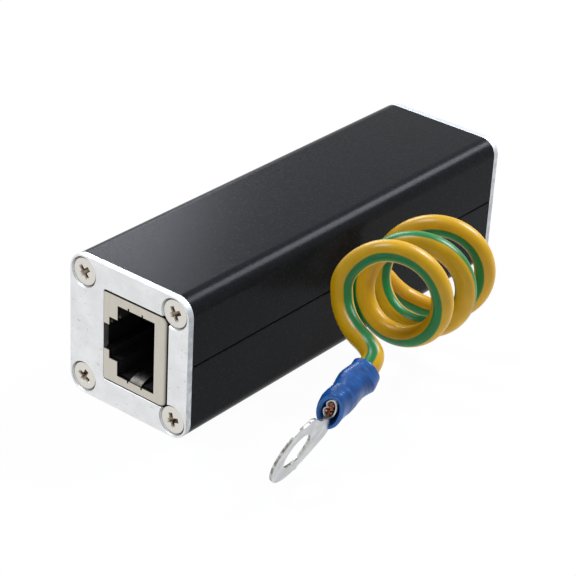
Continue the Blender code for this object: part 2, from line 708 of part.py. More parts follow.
def make_earth_wire(material):
    """The free wire: lead-in and tail as tubes, the turns between them as one turned ring."""
    entry = HALF_WIDTH - CLEARANCE
    inner = [(entry, WIRE_EXIT_Y, SEAM_HEIGHT), (STRIP_X, WIRE_EXIT_Y, SEAM_HEIGHT)]
    make_wire("earth_wire_inner", inner, material, entry - STRIP_X)
    lead = [WIRE_EXIT + Vector(point) for point in LEAD_POINTS] + coil_points(0.0, LEAD_JOIN)
    make_wire("earth_wire_lead", lead, material)
    into_sleeve = WIRE_EXIT + TERMINAL_REAR + TERMINAL_AXIS.normalized() * WIRE_IN_SLEEVE
    tail = coil_points(TAIL_JOIN, TURNS - 1 / 8)
    tail += [WIRE_EXIT + Vector(point) for point in TAIL_POINTS] + [into_sleeve]
    make_wire("earth_wire_tail", tail, material)
    run = FRONT_CENTRE - REAR_CENTRE
    base = WIRE_EXIT + REAR_CENTRE + CENTRE_BOW * 0.7
    axis = run.normalized()
    start = max(axis.dot(point - base) for point in lead) + WIRE_RADIUS + CLEARANCE
    end = min(axis.dot(point - base) for point in tail) - WIRE_RADIUS - CLEARANCE
    shrink = (REAR_UP.length - FRONT_UP.length) / run.length
    wide = REAR_UP.length - shrink * start
    tight = REAR_UP.length - shrink * end
    profile = [(wide - WIRE_RADIUS, start), (wide + WIRE_RADIUS, start)]
    profile += [(tight + WIRE_RADIUS, end), (tight - WIRE_RADIUS, end)]
    place = Matrix.Translation(base) @ along(axis)
    make_object("earth_wire_coil", turned(profile, 32, closed=True, place=place), material)


def sleeve_sections():
    """Stations of the crimped sleeve: distance, half width, half height and bore."""
    wide = SLEEVE_RADIUS
    flat = SLEEVE_RADIUS - CRIMP_DEPTH
    rear_bore = WIRE_RADIUS + CLEARANCE
    front_bore = BARREL_RADIUS + CLEARANCE
    mouth_bore = SLEEVE_RADIUS - SLEEVE_WALL
    flare = SLEEVE_RADIUS + SLEEVE_FLARE
    length = SLEEVE_LENGTH
    return [
        (0.0, flare, flare, rear_bore + 0.1),
        (0.1 * length, wide, wide, rear_bore),
        (0.26 * length, wide, wide, rear_bore),
        (0.34 * length, wide, flat, front_bore),
        (0.44 * length, wide, flat, front_bore),
        (0.52 * length, wide, wide, front_bore),
        (0.62 * length, wide, flat, front_bore),
        (0.72 * length, wide, flat, front_bore),
        (0.82 * length, wide, wide, front_bore + 0.1),
        (length, wide, wide, mouth_bore),
    ]


def make_sleeve(material):
    """The sleeve, squeezed at two places, with a bore that follows it."""
    steps = 20
    shape = bmesh.new()
    stations = sleeve_sections()
    skins = [(item[0], item[1], item[2]) for item in stations]
    skins += [(item[0], item[3], item[3]) for item in reversed(stations)]
    rings = []
    for distance, half_width, half_height in skins:
        ring = []
        for index in range(steps):
            angle = 2 * math.pi * index / steps
            spot = (distance, half_width * math.cos(angle), half_height * math.sin(angle))
            ring.append(shape.verts.new(spot))
        rings.append(ring)
    for first, second in zip(rings, rings[1:] + rings[:1]):
        for index in range(steps):
            after = (index + 1) % steps
            shape.faces.new((first[index], first[after], second[after], second[index]))
    sleeve = make_object("terminal_sleeve", shape, material)
    sleeve.matrix_world = terminal_place()


def tongue_stations():
    """Half width and height of the tongue from the barrel to the ring's tip."""
    mouth = SLEEVE_LENGTH
    middle = mouth + TONGUE_REACH
    low = TONGUE_THICKNESS / 2 - BARREL_RADIUS
    flat = -TONGUE_THICKNESS / 2
    stations = [(mouth - 1.2, BARREL_RADIUS * 0.7, low), (mouth + 0.3, BARREL_RADIUS, low)]
    stations.append((mouth + 1.4, SHOULDER_HALF_WIDTH, (low + flat) / 2))
    stations.append((mouth + 2.6, SHOULDER_HALF_WIDTH + 0.4, flat))
    for step in range(9):
        angle = math.radians(125 - step * 15)
        x = middle + RING_RADIUS * math.cos(angle)
        stations.append((x, RING_RADIUS * math.sin(angle), flat))
    return stations


def make_terminal(material):
    """The ring terminal: a flat ring and tongue that run into a bored barrel."""
    shape = bmesh.new()
    half = TONGUE_THICKNESS / 2
    rings = []
    for x, wide, height in tongue_stations():
        corners = [(-wide, -half), (wide, -half), (wide, half), (-wide, half)]
        rings.append([shape.verts.new((x, y, height + z)) for y, z in corners])
    shape.faces.new(rings[0])
    shape.faces.new(rings[-1][::-1])
    for first, second in zip(rings, rings[1:]):
        for index in range(4):
            after = (index + 1) % 4
            shape.faces.new((first[index], first[after], second[after], second[index]))
    terminal = make_object("ring_terminal", shape, material)
    mouth = SLEEVE_LENGTH
    barrel_start = 0.3 * SLEEVE_LENGTH
    use_tool(terminal, cylinder(BARREL_RADIUS, (barrel_start, 0, 0), (mouth + 0.2, 0, 0), 20), "UNION")
    use_tool(terminal, cylinder(BARREL_BORE, (barrel_start - 1, 0, 0), (mouth + 0.9, 0, 0), 20))
    middle = mouth + TONGUE_REACH
    use_tool(terminal, cylinder(RING_HOLE_RADIUS, (middle, 0, -3), (middle, 0, 3), 24))
    settle(terminal)
    terminal.matrix_world = terminal_place()


def make_strands(material):
    """The bare end of the conductor inside the terminal's barrel."""
    start = (WIRE_IN_SLEEVE + CLEARANCE, 0, 0)
    shape = cylinder(STRAND_RADIUS, start, (SLEEVE_LENGTH + 0.1, 0, 0), 12)
    strands = make_object("strand_end", shape, material)
    strands.matrix_world = terminal_place()


def main():
    """Build every piece."""
    clear_scene()
    black = make_material("black_anodised", (0.012, 0.012, 0.013), 0.45, 0.3)
    silver = make_material("bare_aluminium", (0.75, 0.76, 0.78), 0.35, 1.0)
    nickel = make_material("nickel_plate", (0.6, 0.58, 0.54), 0.3, 1.0)
    plastic = make_material("black_moulding", (0.02, 0.02, 0.02), 0.5)
    gold = make_material("contact_plating", (0.83, 0.62, 0.25), 0.25, 1.0)
    laminate = make_material("board_laminate", (0.02, 0.16, 0.06), 0.4)
    ceramic = make_material("tube_ceramic", (0.75, 0.74, 0.7), 0.5)
    epoxy = make_material("diode_moulding", (0.03, 0.03, 0.03), 0.6)
    solder = make_material("solder_tin", (0.7, 0.71, 0.72), 0.3, 1.0)
    rubber = make_material("grommet_rubber", (0.02, 0.02, 0.02), 0.8)
    wire = make_material("wire_insulation", (0.69, 0.38, 0.02), 0.35)
    blue = make_material("sleeve_plastic", (0.03, 0.11, 0.42), 0.35)
    tin = make_material("tinned_copper", (0.72, 0.73, 0.74), 0.35, 1.0)
    copper = make_material("bare_copper", (0.72, 0.34, 0.2), 0.35, 1.0)
    make_shells(black)
    make_plates(silver)
    make_screws(nickel)
    make_shields(nickel)
    make_housings(plastic)
    make_contacts(gold)
    make_board(laminate)
    make_tubes(ceramic)
    make_diodes(epoxy)
    make_grommet(rubber)
    make_conductor(solder)
    make_earth_wire(wire)
    make_terminal(tin)
    make_sleeve(blue)
    make_strands(copper)


main()
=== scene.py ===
"""Dressed model of an inline network surge protector: black anodised case, bare aluminium
end plates with shielded jacks, and a coiled green and yellow earth wire with a ring terminal."""

import json
import math

import bmesh
import bpy
from mathutils import Matrix, Vector

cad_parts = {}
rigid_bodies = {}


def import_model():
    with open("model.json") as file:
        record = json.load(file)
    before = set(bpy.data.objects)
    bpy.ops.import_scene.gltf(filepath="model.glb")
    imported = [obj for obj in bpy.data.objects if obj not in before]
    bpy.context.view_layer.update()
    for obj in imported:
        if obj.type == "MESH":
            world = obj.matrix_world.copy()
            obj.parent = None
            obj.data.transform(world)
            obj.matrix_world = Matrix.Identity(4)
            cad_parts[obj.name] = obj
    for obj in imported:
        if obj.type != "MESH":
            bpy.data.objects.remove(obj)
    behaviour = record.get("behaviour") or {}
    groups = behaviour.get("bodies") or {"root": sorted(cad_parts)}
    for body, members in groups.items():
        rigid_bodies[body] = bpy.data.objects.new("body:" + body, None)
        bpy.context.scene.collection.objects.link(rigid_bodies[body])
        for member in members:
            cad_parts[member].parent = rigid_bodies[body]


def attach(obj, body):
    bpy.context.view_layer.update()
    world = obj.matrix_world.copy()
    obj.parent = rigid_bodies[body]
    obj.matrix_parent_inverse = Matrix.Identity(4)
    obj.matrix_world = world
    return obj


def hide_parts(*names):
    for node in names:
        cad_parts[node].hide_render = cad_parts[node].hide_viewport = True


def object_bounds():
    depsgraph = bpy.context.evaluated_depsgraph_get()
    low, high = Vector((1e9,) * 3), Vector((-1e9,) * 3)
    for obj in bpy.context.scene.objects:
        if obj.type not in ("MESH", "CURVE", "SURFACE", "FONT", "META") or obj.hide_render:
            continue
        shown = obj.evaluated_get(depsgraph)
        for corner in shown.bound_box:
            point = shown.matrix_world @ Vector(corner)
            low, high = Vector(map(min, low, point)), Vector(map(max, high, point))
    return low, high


bl_info = {
    "name": "Network surge protector",
    "version": (1, 0, 0),
    "blender": (4, 5, 0),
    "location": "3D View > Sidebar > Surge",
    "description": "Builds the visible pieces of an inline network surge protector",
    "category": "Object",
}

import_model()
CAD_BOX = [list(corner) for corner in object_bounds()]

# Sizes are in millimetres, as on the case's drawing, and become metres in each mesh
MM = 0.001
CLEARANCE = 0.3

# Case
OVERALL_LENGTH = 82.4
CASE_WIDTH = 25.0
CASE_HEIGHT = 25.0
CORNER_RADIUS = 3.0
WALL = 1.4
SEAM_HEIGHT = 13.2
SEAM_EDGE = 0.16
LAP_HEIGHT = 1.2
PLATE_THICKNESS = 1.2
PLATE_GAP = 0.05
HALF_WIDTH = CASE_WIDTH / 2

# Screws and their open ports
SCREW_INSET = 3.0
SCREW_HEAD_RADIUS = 2.35
SCREW_CORE_RADIUS = 0.95
SCREW_SHANK = 3.0
SEAT_GAP = 0.28
SCREW_TURNS = (40, 28, 62, 18, 75, 33, 8, 51)
PORT_RADIUS = 2.2
PORT_SLOT = 0.9
PORT_HOLE = SCREW_CORE_RADIUS + CLEARANCE

# Cross recess: height, half length and half width of each section
RECESS = [(0.3, 1.5, 0.48), (0.0, 1.3, 0.4), (-0.5, 0.9, 0.28), (-0.95, 0.3, 0.18)]

# Board and jack; the jack's own frame has x away from the board, y into the case, z across
BOARD_FACE = -5.4
RIB_THICKNESS = 0.9
RIB_DEPTH = 1.5
JACK_BASE = -5.1
JACK_FACE = 40.95
JACK_MIDDLE = 12.5
JACK_HEIGHT = 13.25
JACK_WIDTH = 15.8
JACK_DEPTH = 21.3
SHIELD_WALL = 0.3
SOCKET_FLOOR = 2.9
SOCKET_ROOF = 10.7
SOCKET_WIDTH = 12.7
LATCH_STEP = 1.75
LATCH_SHOULDER_WIDTH = 7.5
LATCH_SLOT_WIDTH = 4.65
PIN_REACH = 2.7
LEG_SETBACK = 13.0
TAB_LOW = 5.45
TAB_HIGH = 7.85
TAB_THICKNESS = 0.22
TAB_NOTCH = 0.32
COMB_RIB = Vector((1.5, 5.0, 0.3))
COMB_MIDDLE = Vector((11.3, 5.4, 0.0))
LEG_WIDTH = 1.6

# Spring contacts
CONTACT_COUNT = 8
CONTACT_PITCH = 0.08 * SOCKET_WIDTH
CONTACT_THICKNESS = 0.3
CONTACT_WIDTH = 0.457
CONTACT_BEND = 4.4
CONTACT_TIP_DEPTH = 9.6
CONTACT_DROP = 3.43
CONTACT_RUN = 11.65
CONTACT_PINS = (17.4, 19.5)

# Parts on the board: height of the body's middle above the case's floor, and half its height
TUBE_CERAMIC = (18.55, 1.89)
DIODE_BODY = (7.6, 2.2)

# Earth wire: a lead of given points, a coil of 2.75 turns and a tail of given points
WIRE_RADIUS = 1.8
SHEATH_RADIUS = WIRE_RADIUS - 0.02
WIRE_EXIT = Vector((12.5, 5.0, 13.2))
LEAD_POINTS = [
    (-0.25, 0.0, 0.0), (1.1, 0.0, 0.0), (2.5, 0.5, -1.0), (3.7, 1.8, -3.0), (5.5, 3.3, -4.8),
]
TURNS = 2.75
REAR_CENTRE = Vector((9.2, 6.4, 2.2))
FRONT_CENTRE = Vector((15.9, -17.9, 8.2))
CENTRE_BOW = Vector((0.4, 0.5, -1.4))
REAR_ACROSS = Vector((8.1, 2.7, 0.3))
FRONT_ACROSS = Vector((6.9, 1.9, 0.0))
REAR_UP = Vector((-0.2, 1.6, 8.2))
FRONT_UP = Vector((-0.3, 0.8, 7.1))
TAIL_POINTS = [
    (9.2, -18.9, 10.9), (8.7, -19.8, 8.9), (9.1, -20.4, 7.1), (10.1, -21.1, 5.3),
    (12.0, -22.1, 3.9), (14.6, -23.1, 2.9), (17.1, -23.9, 2.5), (18.9, -24.6, 1.6),
    (19.6, -26.1, 0.7),
]
WIRE_STEP = 0.5

# Angle of the first green stripe in degrees, at distances along the wire
STRIPE_COURSE = [
    (0.0, 95.0), (33.0, 68.0), (60.0, 60.0), (78.0, 70.0), (92.0, 58.0), (112.0, 53.0),
    (130.0, 25.0), (142.0, 38.0), (151.0, 20.0), (160.0, 28.0), (166.0, 55.0),
]

# Rubber grommet on the seam: its section as radius and height out of the wall
GROMMET_INSIDE = [(2.0, -1.8), (2.0, 0.42)]
GROMMET_OUTSIDE = [(2.9, 0.05), (2.5, 0.05), (2.5, -1.45), (2.85, -1.5), (2.85, -1.75)]
GROMMET_HOLE = 2.65

# Ring terminal; its own frame has x along the sleeve, z up from the tongue's face
TERMINAL_REAR = Vector((19.6, -27.0, 0.3))
TERMINAL_AXIS = Vector((0.031, -0.917, -0.397))
TERMINAL_FACE = Vector((0.944, 0.157, -0.289))
SLEEVE_LENGTH = 9.8
WIRE_IN_SLEEVE = 2.3
BARREL_WIDE = 2.0
BARREL_HIGH = 1.1
BARREL_MIDDLE = (-0.29, -0.42)
BARREL_WALL = 0.36
BARREL_START = 2.94
BARREL_MOUTH = 9.3
STRAND_ROWS = ((-1.1, 5), (-0.1, 7), (0.9, 6))
STRAND_SPREAD = 1.12
STRAND_PACKING = 0.88
STRAND_SETBACK = 1.05
STRAND_LENGTH = 2.0
STRAND_SPLAY = 0.14
TONGUE_SETBACK = 0.35
DENT_DEPTH = 0.42
DENT_ANGLE = -100
CRIMP_LEAN = (0.3, -0.15)
TONGUE_HALF_ANGLE = 28
RING_SPOT = Vector((18.0, -0.23, -0.52))
RING_TILT = 4.9
RING_RADIUS = 5.9
RING_HOLE_RADIUS = 3.1
NUB_ANGLE = 92
NUB_HEIGHT = 0.07
NUB_HALF_ANGLE = 3.2

# Sections of the sleeve: distance, half width, height below and above its middle, squareness
SLEEVE_OUTSIDE = [
    (0.0, 2.72, 2.22, 2.42, 1.0), (0.14, 2.86, 2.36, 2.6, 1.0), (0.7, 2.9, 2.32, 2.72, 1.0),
    (1.1, 2.9, 2.26, 2.82, 1.0), (1.7, 2.95, 2.42, 2.95, 1.0), (2.1, 2.95, 2.52, 2.96, 0.95),
    (2.6, 3.0, 2.62, 2.66, 0.9), (3.2, 3.05, 2.72, 2.36, 0.85), (3.8, 3.1, 2.72, 2.16, 0.8),
    (4.6, 3.15, 2.62, 2.12, 0.78), (5.3, 3.2, 2.5, 2.18, 0.85), (6.0, 3.2, 2.4, 2.2, 0.9),
    (6.8, 3.25, 2.46, 2.06, 0.8), (7.5, 3.3, 2.62, 1.84, 0.82), (8.2, 3.4, 2.72, 1.76, 0.9),
    (8.9, 3.52, 2.6, 1.8, 1.0), (9.35, 3.56, 2.42, 1.8, 1.0), (9.52, 3.48, 2.3, 1.7, 1.0),
]
SLEEVE_INSIDE = [
    (9.58, 3.3, 2.12, 1.52, 1.0), (9.5, 2.9, 1.74, 1.2, 1.0), (9.3, 2.75, 1.66, 1.14, 1.0),
    (8.0, 2.6, 1.64, 0.95, 1.0), (6.5, 2.45, 1.62, 0.9, 1.0), (3.4, 2.35, 1.6, 0.9, 1.0),
    (2.6, 1.95, 1.95, 1.95, 1.0), (0.25, 1.95, 1.95, 1.95, 1.0), (0.0, 2.3, 2.0, 2.1, 1.0),
]

# Corners of the tongue, measured from the ring's centre along the sleeve and across it
NECK = [(-6.1, -1.3), (-7.75, 1.0)]
SHOULDER = [
    (-7.8, 1.6), (-7.85, 3.0), (-7.8, 4.2), (-7.55, 4.62), (-6.7, 5.1), (-4.4, 5.5), (-1.3, 5.84),
]
CHEEK = [(-2.7, -5.6), (-3.5, -5.1), (-4.15, -4.3), (-4.8, -3.0), (-5.4, -1.9)]

# Stage, in metres apart from the lens: each lamp's place and size, and the camera's place
# and three directions
LAMPS = {
    "key": ((-0.26, -0.2, 0.92), 0.2),
    "sheen": ((-0.33, 0.215, 0.24), 0.18),
    "edge": ((0.22, 0.7, 0.7), 0.36),
}
LAMP_AIM = Vector((0.005, -0.015, 0.01))
SKY_STRENGTH = 0.09
FLOOR_GLOW = 0.97
FLOOR_HALF = 2.5
FLOOR_DROP = 0.0001
WHITE = (1.0, 1.0, 1.0, 1.0)
FOCAL_LENGTH = 128.46
CAMERA_SPOT = Vector((0.187943, -0.243012, 0.176515))
CAMERA_RIGHT = Vector((0.77153085, 0.6343142, 0.04884308))
CAMERA_UP = Vector((-0.34093273, 0.34742084, 0.87353513))
CAMERA_BACK = Vector((0.53712664, -0.6906115, 0.48430437))


def colour(code):
    """Linear RGBA of an sRGB hex colour."""
    channels = [int(code[place:place + 2], 16) / 255 for place in (1, 3, 5)]
    linear = [c / 12.92 if c <= 0.04045 else ((c + 0.055) / 1.055) ** 2.4 for c in channels]
    return (*linear, 1.0)


def darker(tone, share):
    """A linear colour with the given share of its light."""
    return (*[channel * share for channel in tone[:3]], 1.0)


# Meshes


def ease(value):
    """Smooth step from 0 to 1."""
    value = min(1.0, max(0.0, value))
    return value * value * (3 - 2 * value)


def arc(centre, radius, start, end, steps):
    """Points on a circular arc, angles in degrees."""
    points = []
    for index in range(steps + 1):
        angle = math.radians(start + (end - start) * index / steps)
        points.append((centre[0] + radius * math.cos(angle), centre[1] + radius * math.sin(angle)))
    return points


def rounded_rectangle(low, high, radius, steps=10):
    """Outline of a rectangle with round corners."""
    x0, z0 = low
    x1, z1 = high
    points = arc((x1 - radius, z1 - radius), radius, 0, 90, steps)
    points += arc((x0 + radius, z1 - radius), radius, 90, 180, steps)
    points += arc((x0 + radius, z0 + radius), radius, 180, 270, steps)
    points += arc((x1 - radius, z0 + radius), radius, 270, 360, steps)
    return points


def loft(sections, shape=None, closed=False):
    """Skin rings of points with equal counts; an open loft is capped at both ends."""
    shape = shape or bmesh.new()
    rings = [[shape.verts.new(point) for point in section] for section in sections]
    pairs = list(zip(rings, rings[1:]))
    if closed:
        pairs.append((rings[-1], rings[0]))
    else:
        shape.faces.new(rings[0])
        shape.faces.new(rings[-1][::-1])
    count = len(rings[0])
    for first, second in pairs:
        for index in range(count):
            after = (index + 1) % count
            shape.faces.new((first[index], first[after], second[after], second[index]))
    return shape


def skin_mapped(shape, sheet, rings, marks, closed=False):
    """Skin rings of vertices; each ring's mark is its turn and its distance on the map."""
    count = len(rings[0])
    for row in range(len(rings) if closed else len(rings) - 1):
        last = (row + 1) % len(rings)
        for side in range(count):
            spots = ((row, side), (row, side + 1), (last, side + 1), (last, side))
            face = shape.faces.new([rings[level][step % count] for level, step in spots])
            for loop, (level, step) in zip(face.loops, spots):
                turn, distance = marks[level]
                loop[sheet].uv = (step / count - turn, distance)


def prism(outline, y0, y1, shape=None):
    """Extrude an XZ outline along Y."""
    return loft([[(x, y, z) for x, z in outline] for y in (y0, y1)], shape)


def turned(profile, steps, closed=False, place=None, shape=None):
    """Turn (radius, height) points about Z."""
    place = place or Matrix.Identity(4)
    sections = []
    for radius, height in profile:
        ring = arc((0, 0), radius, 0, 360 - 360 / steps, steps - 1)
        sections.append([place @ Vector((x, y, height)) for x, y in ring])
    return loft(sections, shape, closed)


def along(axis):
    """Turn +Z onto an axis."""
    return Vector((0.0, 0.0, 1.0)).rotation_difference(Vector(axis)).to_matrix().to_4x4()


def make_piece(name, shape, materials=(), smooth_angle=35.0):
    """Turn a bmesh in millimetres into an object in metres with outward faces."""
    bmesh.ops.recalc_face_normals(shape, faces=shape.faces)
    bmesh.ops.scale(shape, vec=(MM, MM, MM), verts=shape.verts)
    mesh = bpy.data.meshes.new(name)
    shape.to_mesh(mesh)
    shape.free()
    mesh.shade_smooth()
    mesh.set_sharp_from_angle(angle=math.radians(smooth_angle))
    piece = bpy.data.objects.new(name, mesh)
    for material in materials:
        mesh.materials.append(material)
    bpy.context.collection.objects.link(piece)
    return piece


def move(piece, place):
    """Move a piece's mesh into a frame given in millimetres."""
    piece.data.transform(Matrix.Scale(MM, 4) @ place @ Matrix.Scale(1 / MM, 4))


def settle(piece, smooth_angle=35.0):
    """Make the result of a piece's modifiers its own mesh."""
    bpy.context.view_layer.update()
    graph = bpy.context.evaluated_depsgraph_get()
    mesh = bpy.data.meshes.new_from_object(piece.evaluated_get(graph))
    piece.modifiers.clear()
    piece.data = mesh
    mesh.shade_smooth()
    mesh.set_sharp_from_angle(angle=math.radians(smooth_angle))
    return piece


def cut(piece, tool_shape, operation="DIFFERENCE"):
    """Cut or join one solid and drop it."""
    tool = make_piece("tool", tool_shape)
    step = piece.modifiers.new("cut", "BOOLEAN")
    step.operation = operation
    step.solver = "EXACT"
    step.object = tool
    settle(piece)
    bpy.data.objects.remove(tool, do_unlink=True)
    return piece


def finish_piece(piece, slot, *nodes):
    """Hand a finished piece to the frame in place of CAD nodes."""
    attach(piece, "root")
    if nodes:
        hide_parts(*nodes)


# Nodes


def connect(tree, item, inputs):
    """Set a node's inputs, or link those whose value is a socket or another node."""
    for key, value in inputs.items():
        if isinstance(value, bpy.types.Node):
            value = value.outputs[0]
        if isinstance(value, bpy.types.NodeSocket):
            tree.links.new(value, item.inputs[key])
        else:
            item.inputs[key].default_value = value


def add_node(tree, kind, inputs=None, **settings):
    """Add a node with its settings and links."""
    item = tree.nodes.new(kind)
    for name, value in settings.items():
        setattr(item, name, value)
    connect(tree, item, inputs or {})
    return item


# Materials: Map Range takes its value at 0, the range that it comes from at 1 and 2 and the range
# that it goes to at 3 and 4; Mix takes its share at 0 and its colours at 6 and 7
EASED = {"interpolation_type": "SMOOTHSTEP"}
COLOURS = {"data_type": "RGBA"}


def begin_material(name, base, roughness, metallic=0.0):
    """A Principled material; returns it with its tree, shader and Object coordinates."""
    material = bpy.data.materials.new(name)
    material.use_nodes = True
    tree = material.node_tree
    shader = tree.nodes["Principled BSDF"]
    connect(tree, shader, {"Base Color": base, "Roughness": roughness, "Metallic": metallic})
    return material, tree, shader, add_node(tree, "ShaderNodeTexCoord").outputs["Object"]


def shades(tree, place, grain, detail, dark, light, low=0.3, high=0.7):
    """Patches of two shades, their grain in millimetres; returns their noise and the mix."""
    noise = {"Vector": place, "Scale": 1 / (grain * MM), "Detail": detail}
    noise = add_node(tree, "ShaderNodeTexNoise", noise)
    share = add_node(tree, "ShaderNodeMapRange", {0: noise, 1: low, 2: high}, **EASED)
    return noise, add_node(tree, "ShaderNodeMix", {0: share, 6: dark, 7: light}, **COLOURS)


def beyond(tree, place, axis, middle, low, high):
    """Share from 0 to 1 between two distances from a middle along an axis, in millimetres."""
    axes = add_node(tree, "ShaderNodeSeparateXYZ", {0: place})
    span = {0: axes.outputs[axis], 1: middle * MM}
    offset = add_node(tree, "ShaderNodeMath", span, operation="SUBTRACT")
    distance = add_node(tree, "ShaderNodeMath", {0: offset}, operation="ABSOLUTE")
    span = {0: distance, 1: low * MM, 2: high * MM}
    return add_node(tree, "ShaderNodeMapRange", span, **EASED)


def dress(tree, shader, tone, pattern, polish, strength, depth):
    """Give a shader a mixed colour, and a pattern's polish and its relief, in millimetres."""
    relief = {"Height": pattern, "Strength": strength, "Distance": depth * MM}
    finish = {"Base Color": tone.outputs[2], "Normal": add_node(tree, "ShaderNodeBump", relief)}
    if polish:
        spread = {0: pattern, 1: 0.3, 2: 0.7, 3: polish[0], 4: polish[1]}
        finish["Roughness"] = add_node(tree, "ShaderNodeMapRange", spread, **EASED)
    connect(tree, shader, finish)


def black_anodised(tone):
    """Extruded aluminium, etched and dyed black: a dull satin oxide with a fine grain."""
    material, tree, shader, place = begin_material("black_anodised_aluminium", tone, 0.25)
    # Etching grain is about 0.05 mm and is drawn at 0.28 mm so that it shows
    cells = add_node(tree, "ShaderNodeTexVoronoi", {"Vector": place, "Scale": 1 / (0.28 * MM)})
    grain = cells.outputs["Color"]
    dye = add_node(tree, "ShaderNodeMix", {0: grain, 6: darker(tone, 0.55), 7: tone}, **COLOURS)
    dress(tree, shader, dye, grain, None, 0.35, 0.01)
    satin = add_node(tree, "ShaderNodeMapRange", {0: grain, 3: 0.22, 4: 0.28}, **EASED)
    # The sealed oxide mirrors little, less than bare plastic does
    connect(tree, shader, {"Roughness": satin, "IOR": 1.115})
    return material


def plate_aluminium(tone):
    """Sheared and tumbled aluminium sheet: bright, faintly mottled, with short scratches."""
    material, tree, shader, place = begin_material("tumbled_aluminium", tone, 0.42, 1.0)
    sheet = shades(tree, place, 2.5, 5.0, darker(tone, 0.909), tone)[1]
    upright = add_node(tree, "ShaderNodeMapping", {"Vector": place, "Scale": (1.0, 1.0, 2.2)})
    pits = {"Vector": upright, "Scale": 1 / (1.1 * MM), "Detail": 6.0}
    pits = add_node(tree, "ShaderNodeTexNoise", pits)
    nicks = add_node(tree, "ShaderNodeMapRange", {0: pits, 1: 0.63, 2: 0.73, 4: 0.5}, **EASED)
    worn = {0: nicks, 6: sheet.outputs[2], 7: colour("#A4A7AB")}
    worn = add_node(tree, "ShaderNodeMix", worn, **COLOURS)
    # Tumbling marks are hair-fine and are drawn 0.17 mm wide so that they show
    tumbled = add_node(tree, "ShaderNodeMapping", {"Vector": place, "Scale": (0.3, 1.0, 3.0)})
    marks = {"Vector": tumbled, "Scale": 1 / (0.5 * MM), "Detail": 4.0}
    marks = add_node(tree, "ShaderNodeTexNoise", marks)
    dress(tree, shader, worn, marks, (0.36, 0.5), 0.25, 0.02)
    return material


def nickel_screw():
    """Nickel-plated steel screw: warm grey, browner and darker deeper in the driver recess."""
    bright = colour("#DAD7D0")
    material, tree, shader, place = begin_material("nickel_plated_steel", bright, 0.3, 1.0)
    face = OVERALL_LENGTH / 2 - 0.2
    # Deeper than the head's face, the colour turns browner and darker
    shallow = beyond(tree, place, 1, 0.0, face - 0.45, face - 0.08)
    tone = {0: shallow, 6: colour("#8A7B6B"), 7: bright}
    tone = add_node(tree, "ShaderNodeMix", tone, **COLOURS)
    speckle = {"Vector": place, "Scale": 1 / (0.4 * MM), "Detail": 3.0}
    speckle = add_node(tree, "ShaderNodeTexNoise", speckle)
    dress(tree, shader, tone, speckle, (0.24, 0.38), 0.15, 0.02)
    return material


def nickel_shield():
    """Nickel-plated brass strip, stamped and folded: a soft beige mirror, with painted shade on
    its rolled edge and folded flanks.
    """
    dark, light = colour("#BDB7AC"), colour("#D3CEC4")
    material, tree, shader, place = begin_material("nickel_plated_brass", light, 0.36, 1.0)
    drawn = add_node(tree, "ShaderNodeMapping", {"Vector": place, "Scale": (1.0, 1.0, 0.15)})
    rolled = {"Vector": drawn, "Scale": 1 / (0.5 * MM), "Detail": 3.0}
    rolled = add_node(tree, "ShaderNodeTexNoise", rolled)
    face = add_node(tree, "ShaderNodeMix", {0: rolled, 6: dark, 7: light}, **COLOURS)
    # Painted shade: the rolled edge and the folded flanks behind the face turn dark brown, so the
    # gaps round the shield read dark
    front = beyond(tree, place, 1, 0.0, JACK_FACE - 0.1, JACK_FACE + 0.19)
    tone = {0: front, 6: colour("#2E2B27"), 7: face.outputs[2]}
    tone = add_node(tree, "ShaderNodeMix", tone, **COLOURS)
    dress(tree, shader, tone, rolled, (0.3, 0.42), 0.1, 0.02)
    return material


def moulded_plastic(name, dark, light, roughness, grain):
    """Moulded plastic with a fine tool texture of the given grain in millimetres."""
    material, tree, shader, place = begin_material(name, colour(dark), roughness)
    texture = {"Vector": place, "Scale": 1 / (grain * MM), "Detail": 2.0}
    texture = add_node(tree, "ShaderNodeTexNoise", texture)
    tone = {0: texture, 6: colour(dark), 7: colour(light)}
    tone = add_node(tree, "ShaderNodeMix", tone, **COLOURS)
    dress(tree, shader, tone, texture, None, 0.2, 0.02)
    return material


def plated_metal(name, dark, light, roughness, grain):
    """Plated or drawn metal whose shade and polish vary over the given grain in millimetres."""
    material, tree, shader, place = begin_material(name, colour(light), roughness, 1.0)
    tones = (colour(dark), colour(light))
    patches, tone = shades(tree, place, grain, 3.0, *tones, 0.35, 0.65)
    dress(tree, shader, tone, patches, (roughness + 0.08, roughness - 0.06), 0.15, 0.03)
    return material


def earth_insulation(yellow, green):
    """Extruded PVC in safety colours: a yellow sheath with two green stripes, glossy and soft."""
    material, tree, shader, place = begin_material("pvc_green_and_yellow", yellow, 0.33)
    sheath = shades(tree, place, 4.0, 2.0, darker(yellow, 0.87), yellow)[1]
    band = shades(tree, place, 4.0, 2.0, darker(green, 0.83), green)[1]
    # The map's first axis is the share of a turn from the stripe, and there are two stripes
    unwrapped = add_node(tree, "ShaderNodeUVMap", uv_map="sheath")
    axes = add_node(tree, "ShaderNodeSeparateXYZ", {0: unwrapped})
    around = add_node(tree, "ShaderNodeMath", {0: axes, 1: 4 * math.pi}, operation="MULTIPLY")
    wave = add_node(tree, "ShaderNodeMath", {0: around}, operation="COSINE")
    stripe = add_node(tree, "ShaderNodeMapRange", {0: wave, 1: 0.47, 2: 0.71}, **EASED)
    tone = {0: stripe, 6: sheath.outputs[2], 7: band.outputs[2]}
    tone = add_node(tree, "ShaderNodeMix", tone, **COLOURS)
    skin = add_node(tree, "ShaderNodeTexNoise", {"Vector": place, "Scale": 1 / (0.8 * MM)})
    dress(tree, shader, tone, skin, None, 0.12, 0.03)
    connect(tree, shader, {"IOR": 1.4})
    return material


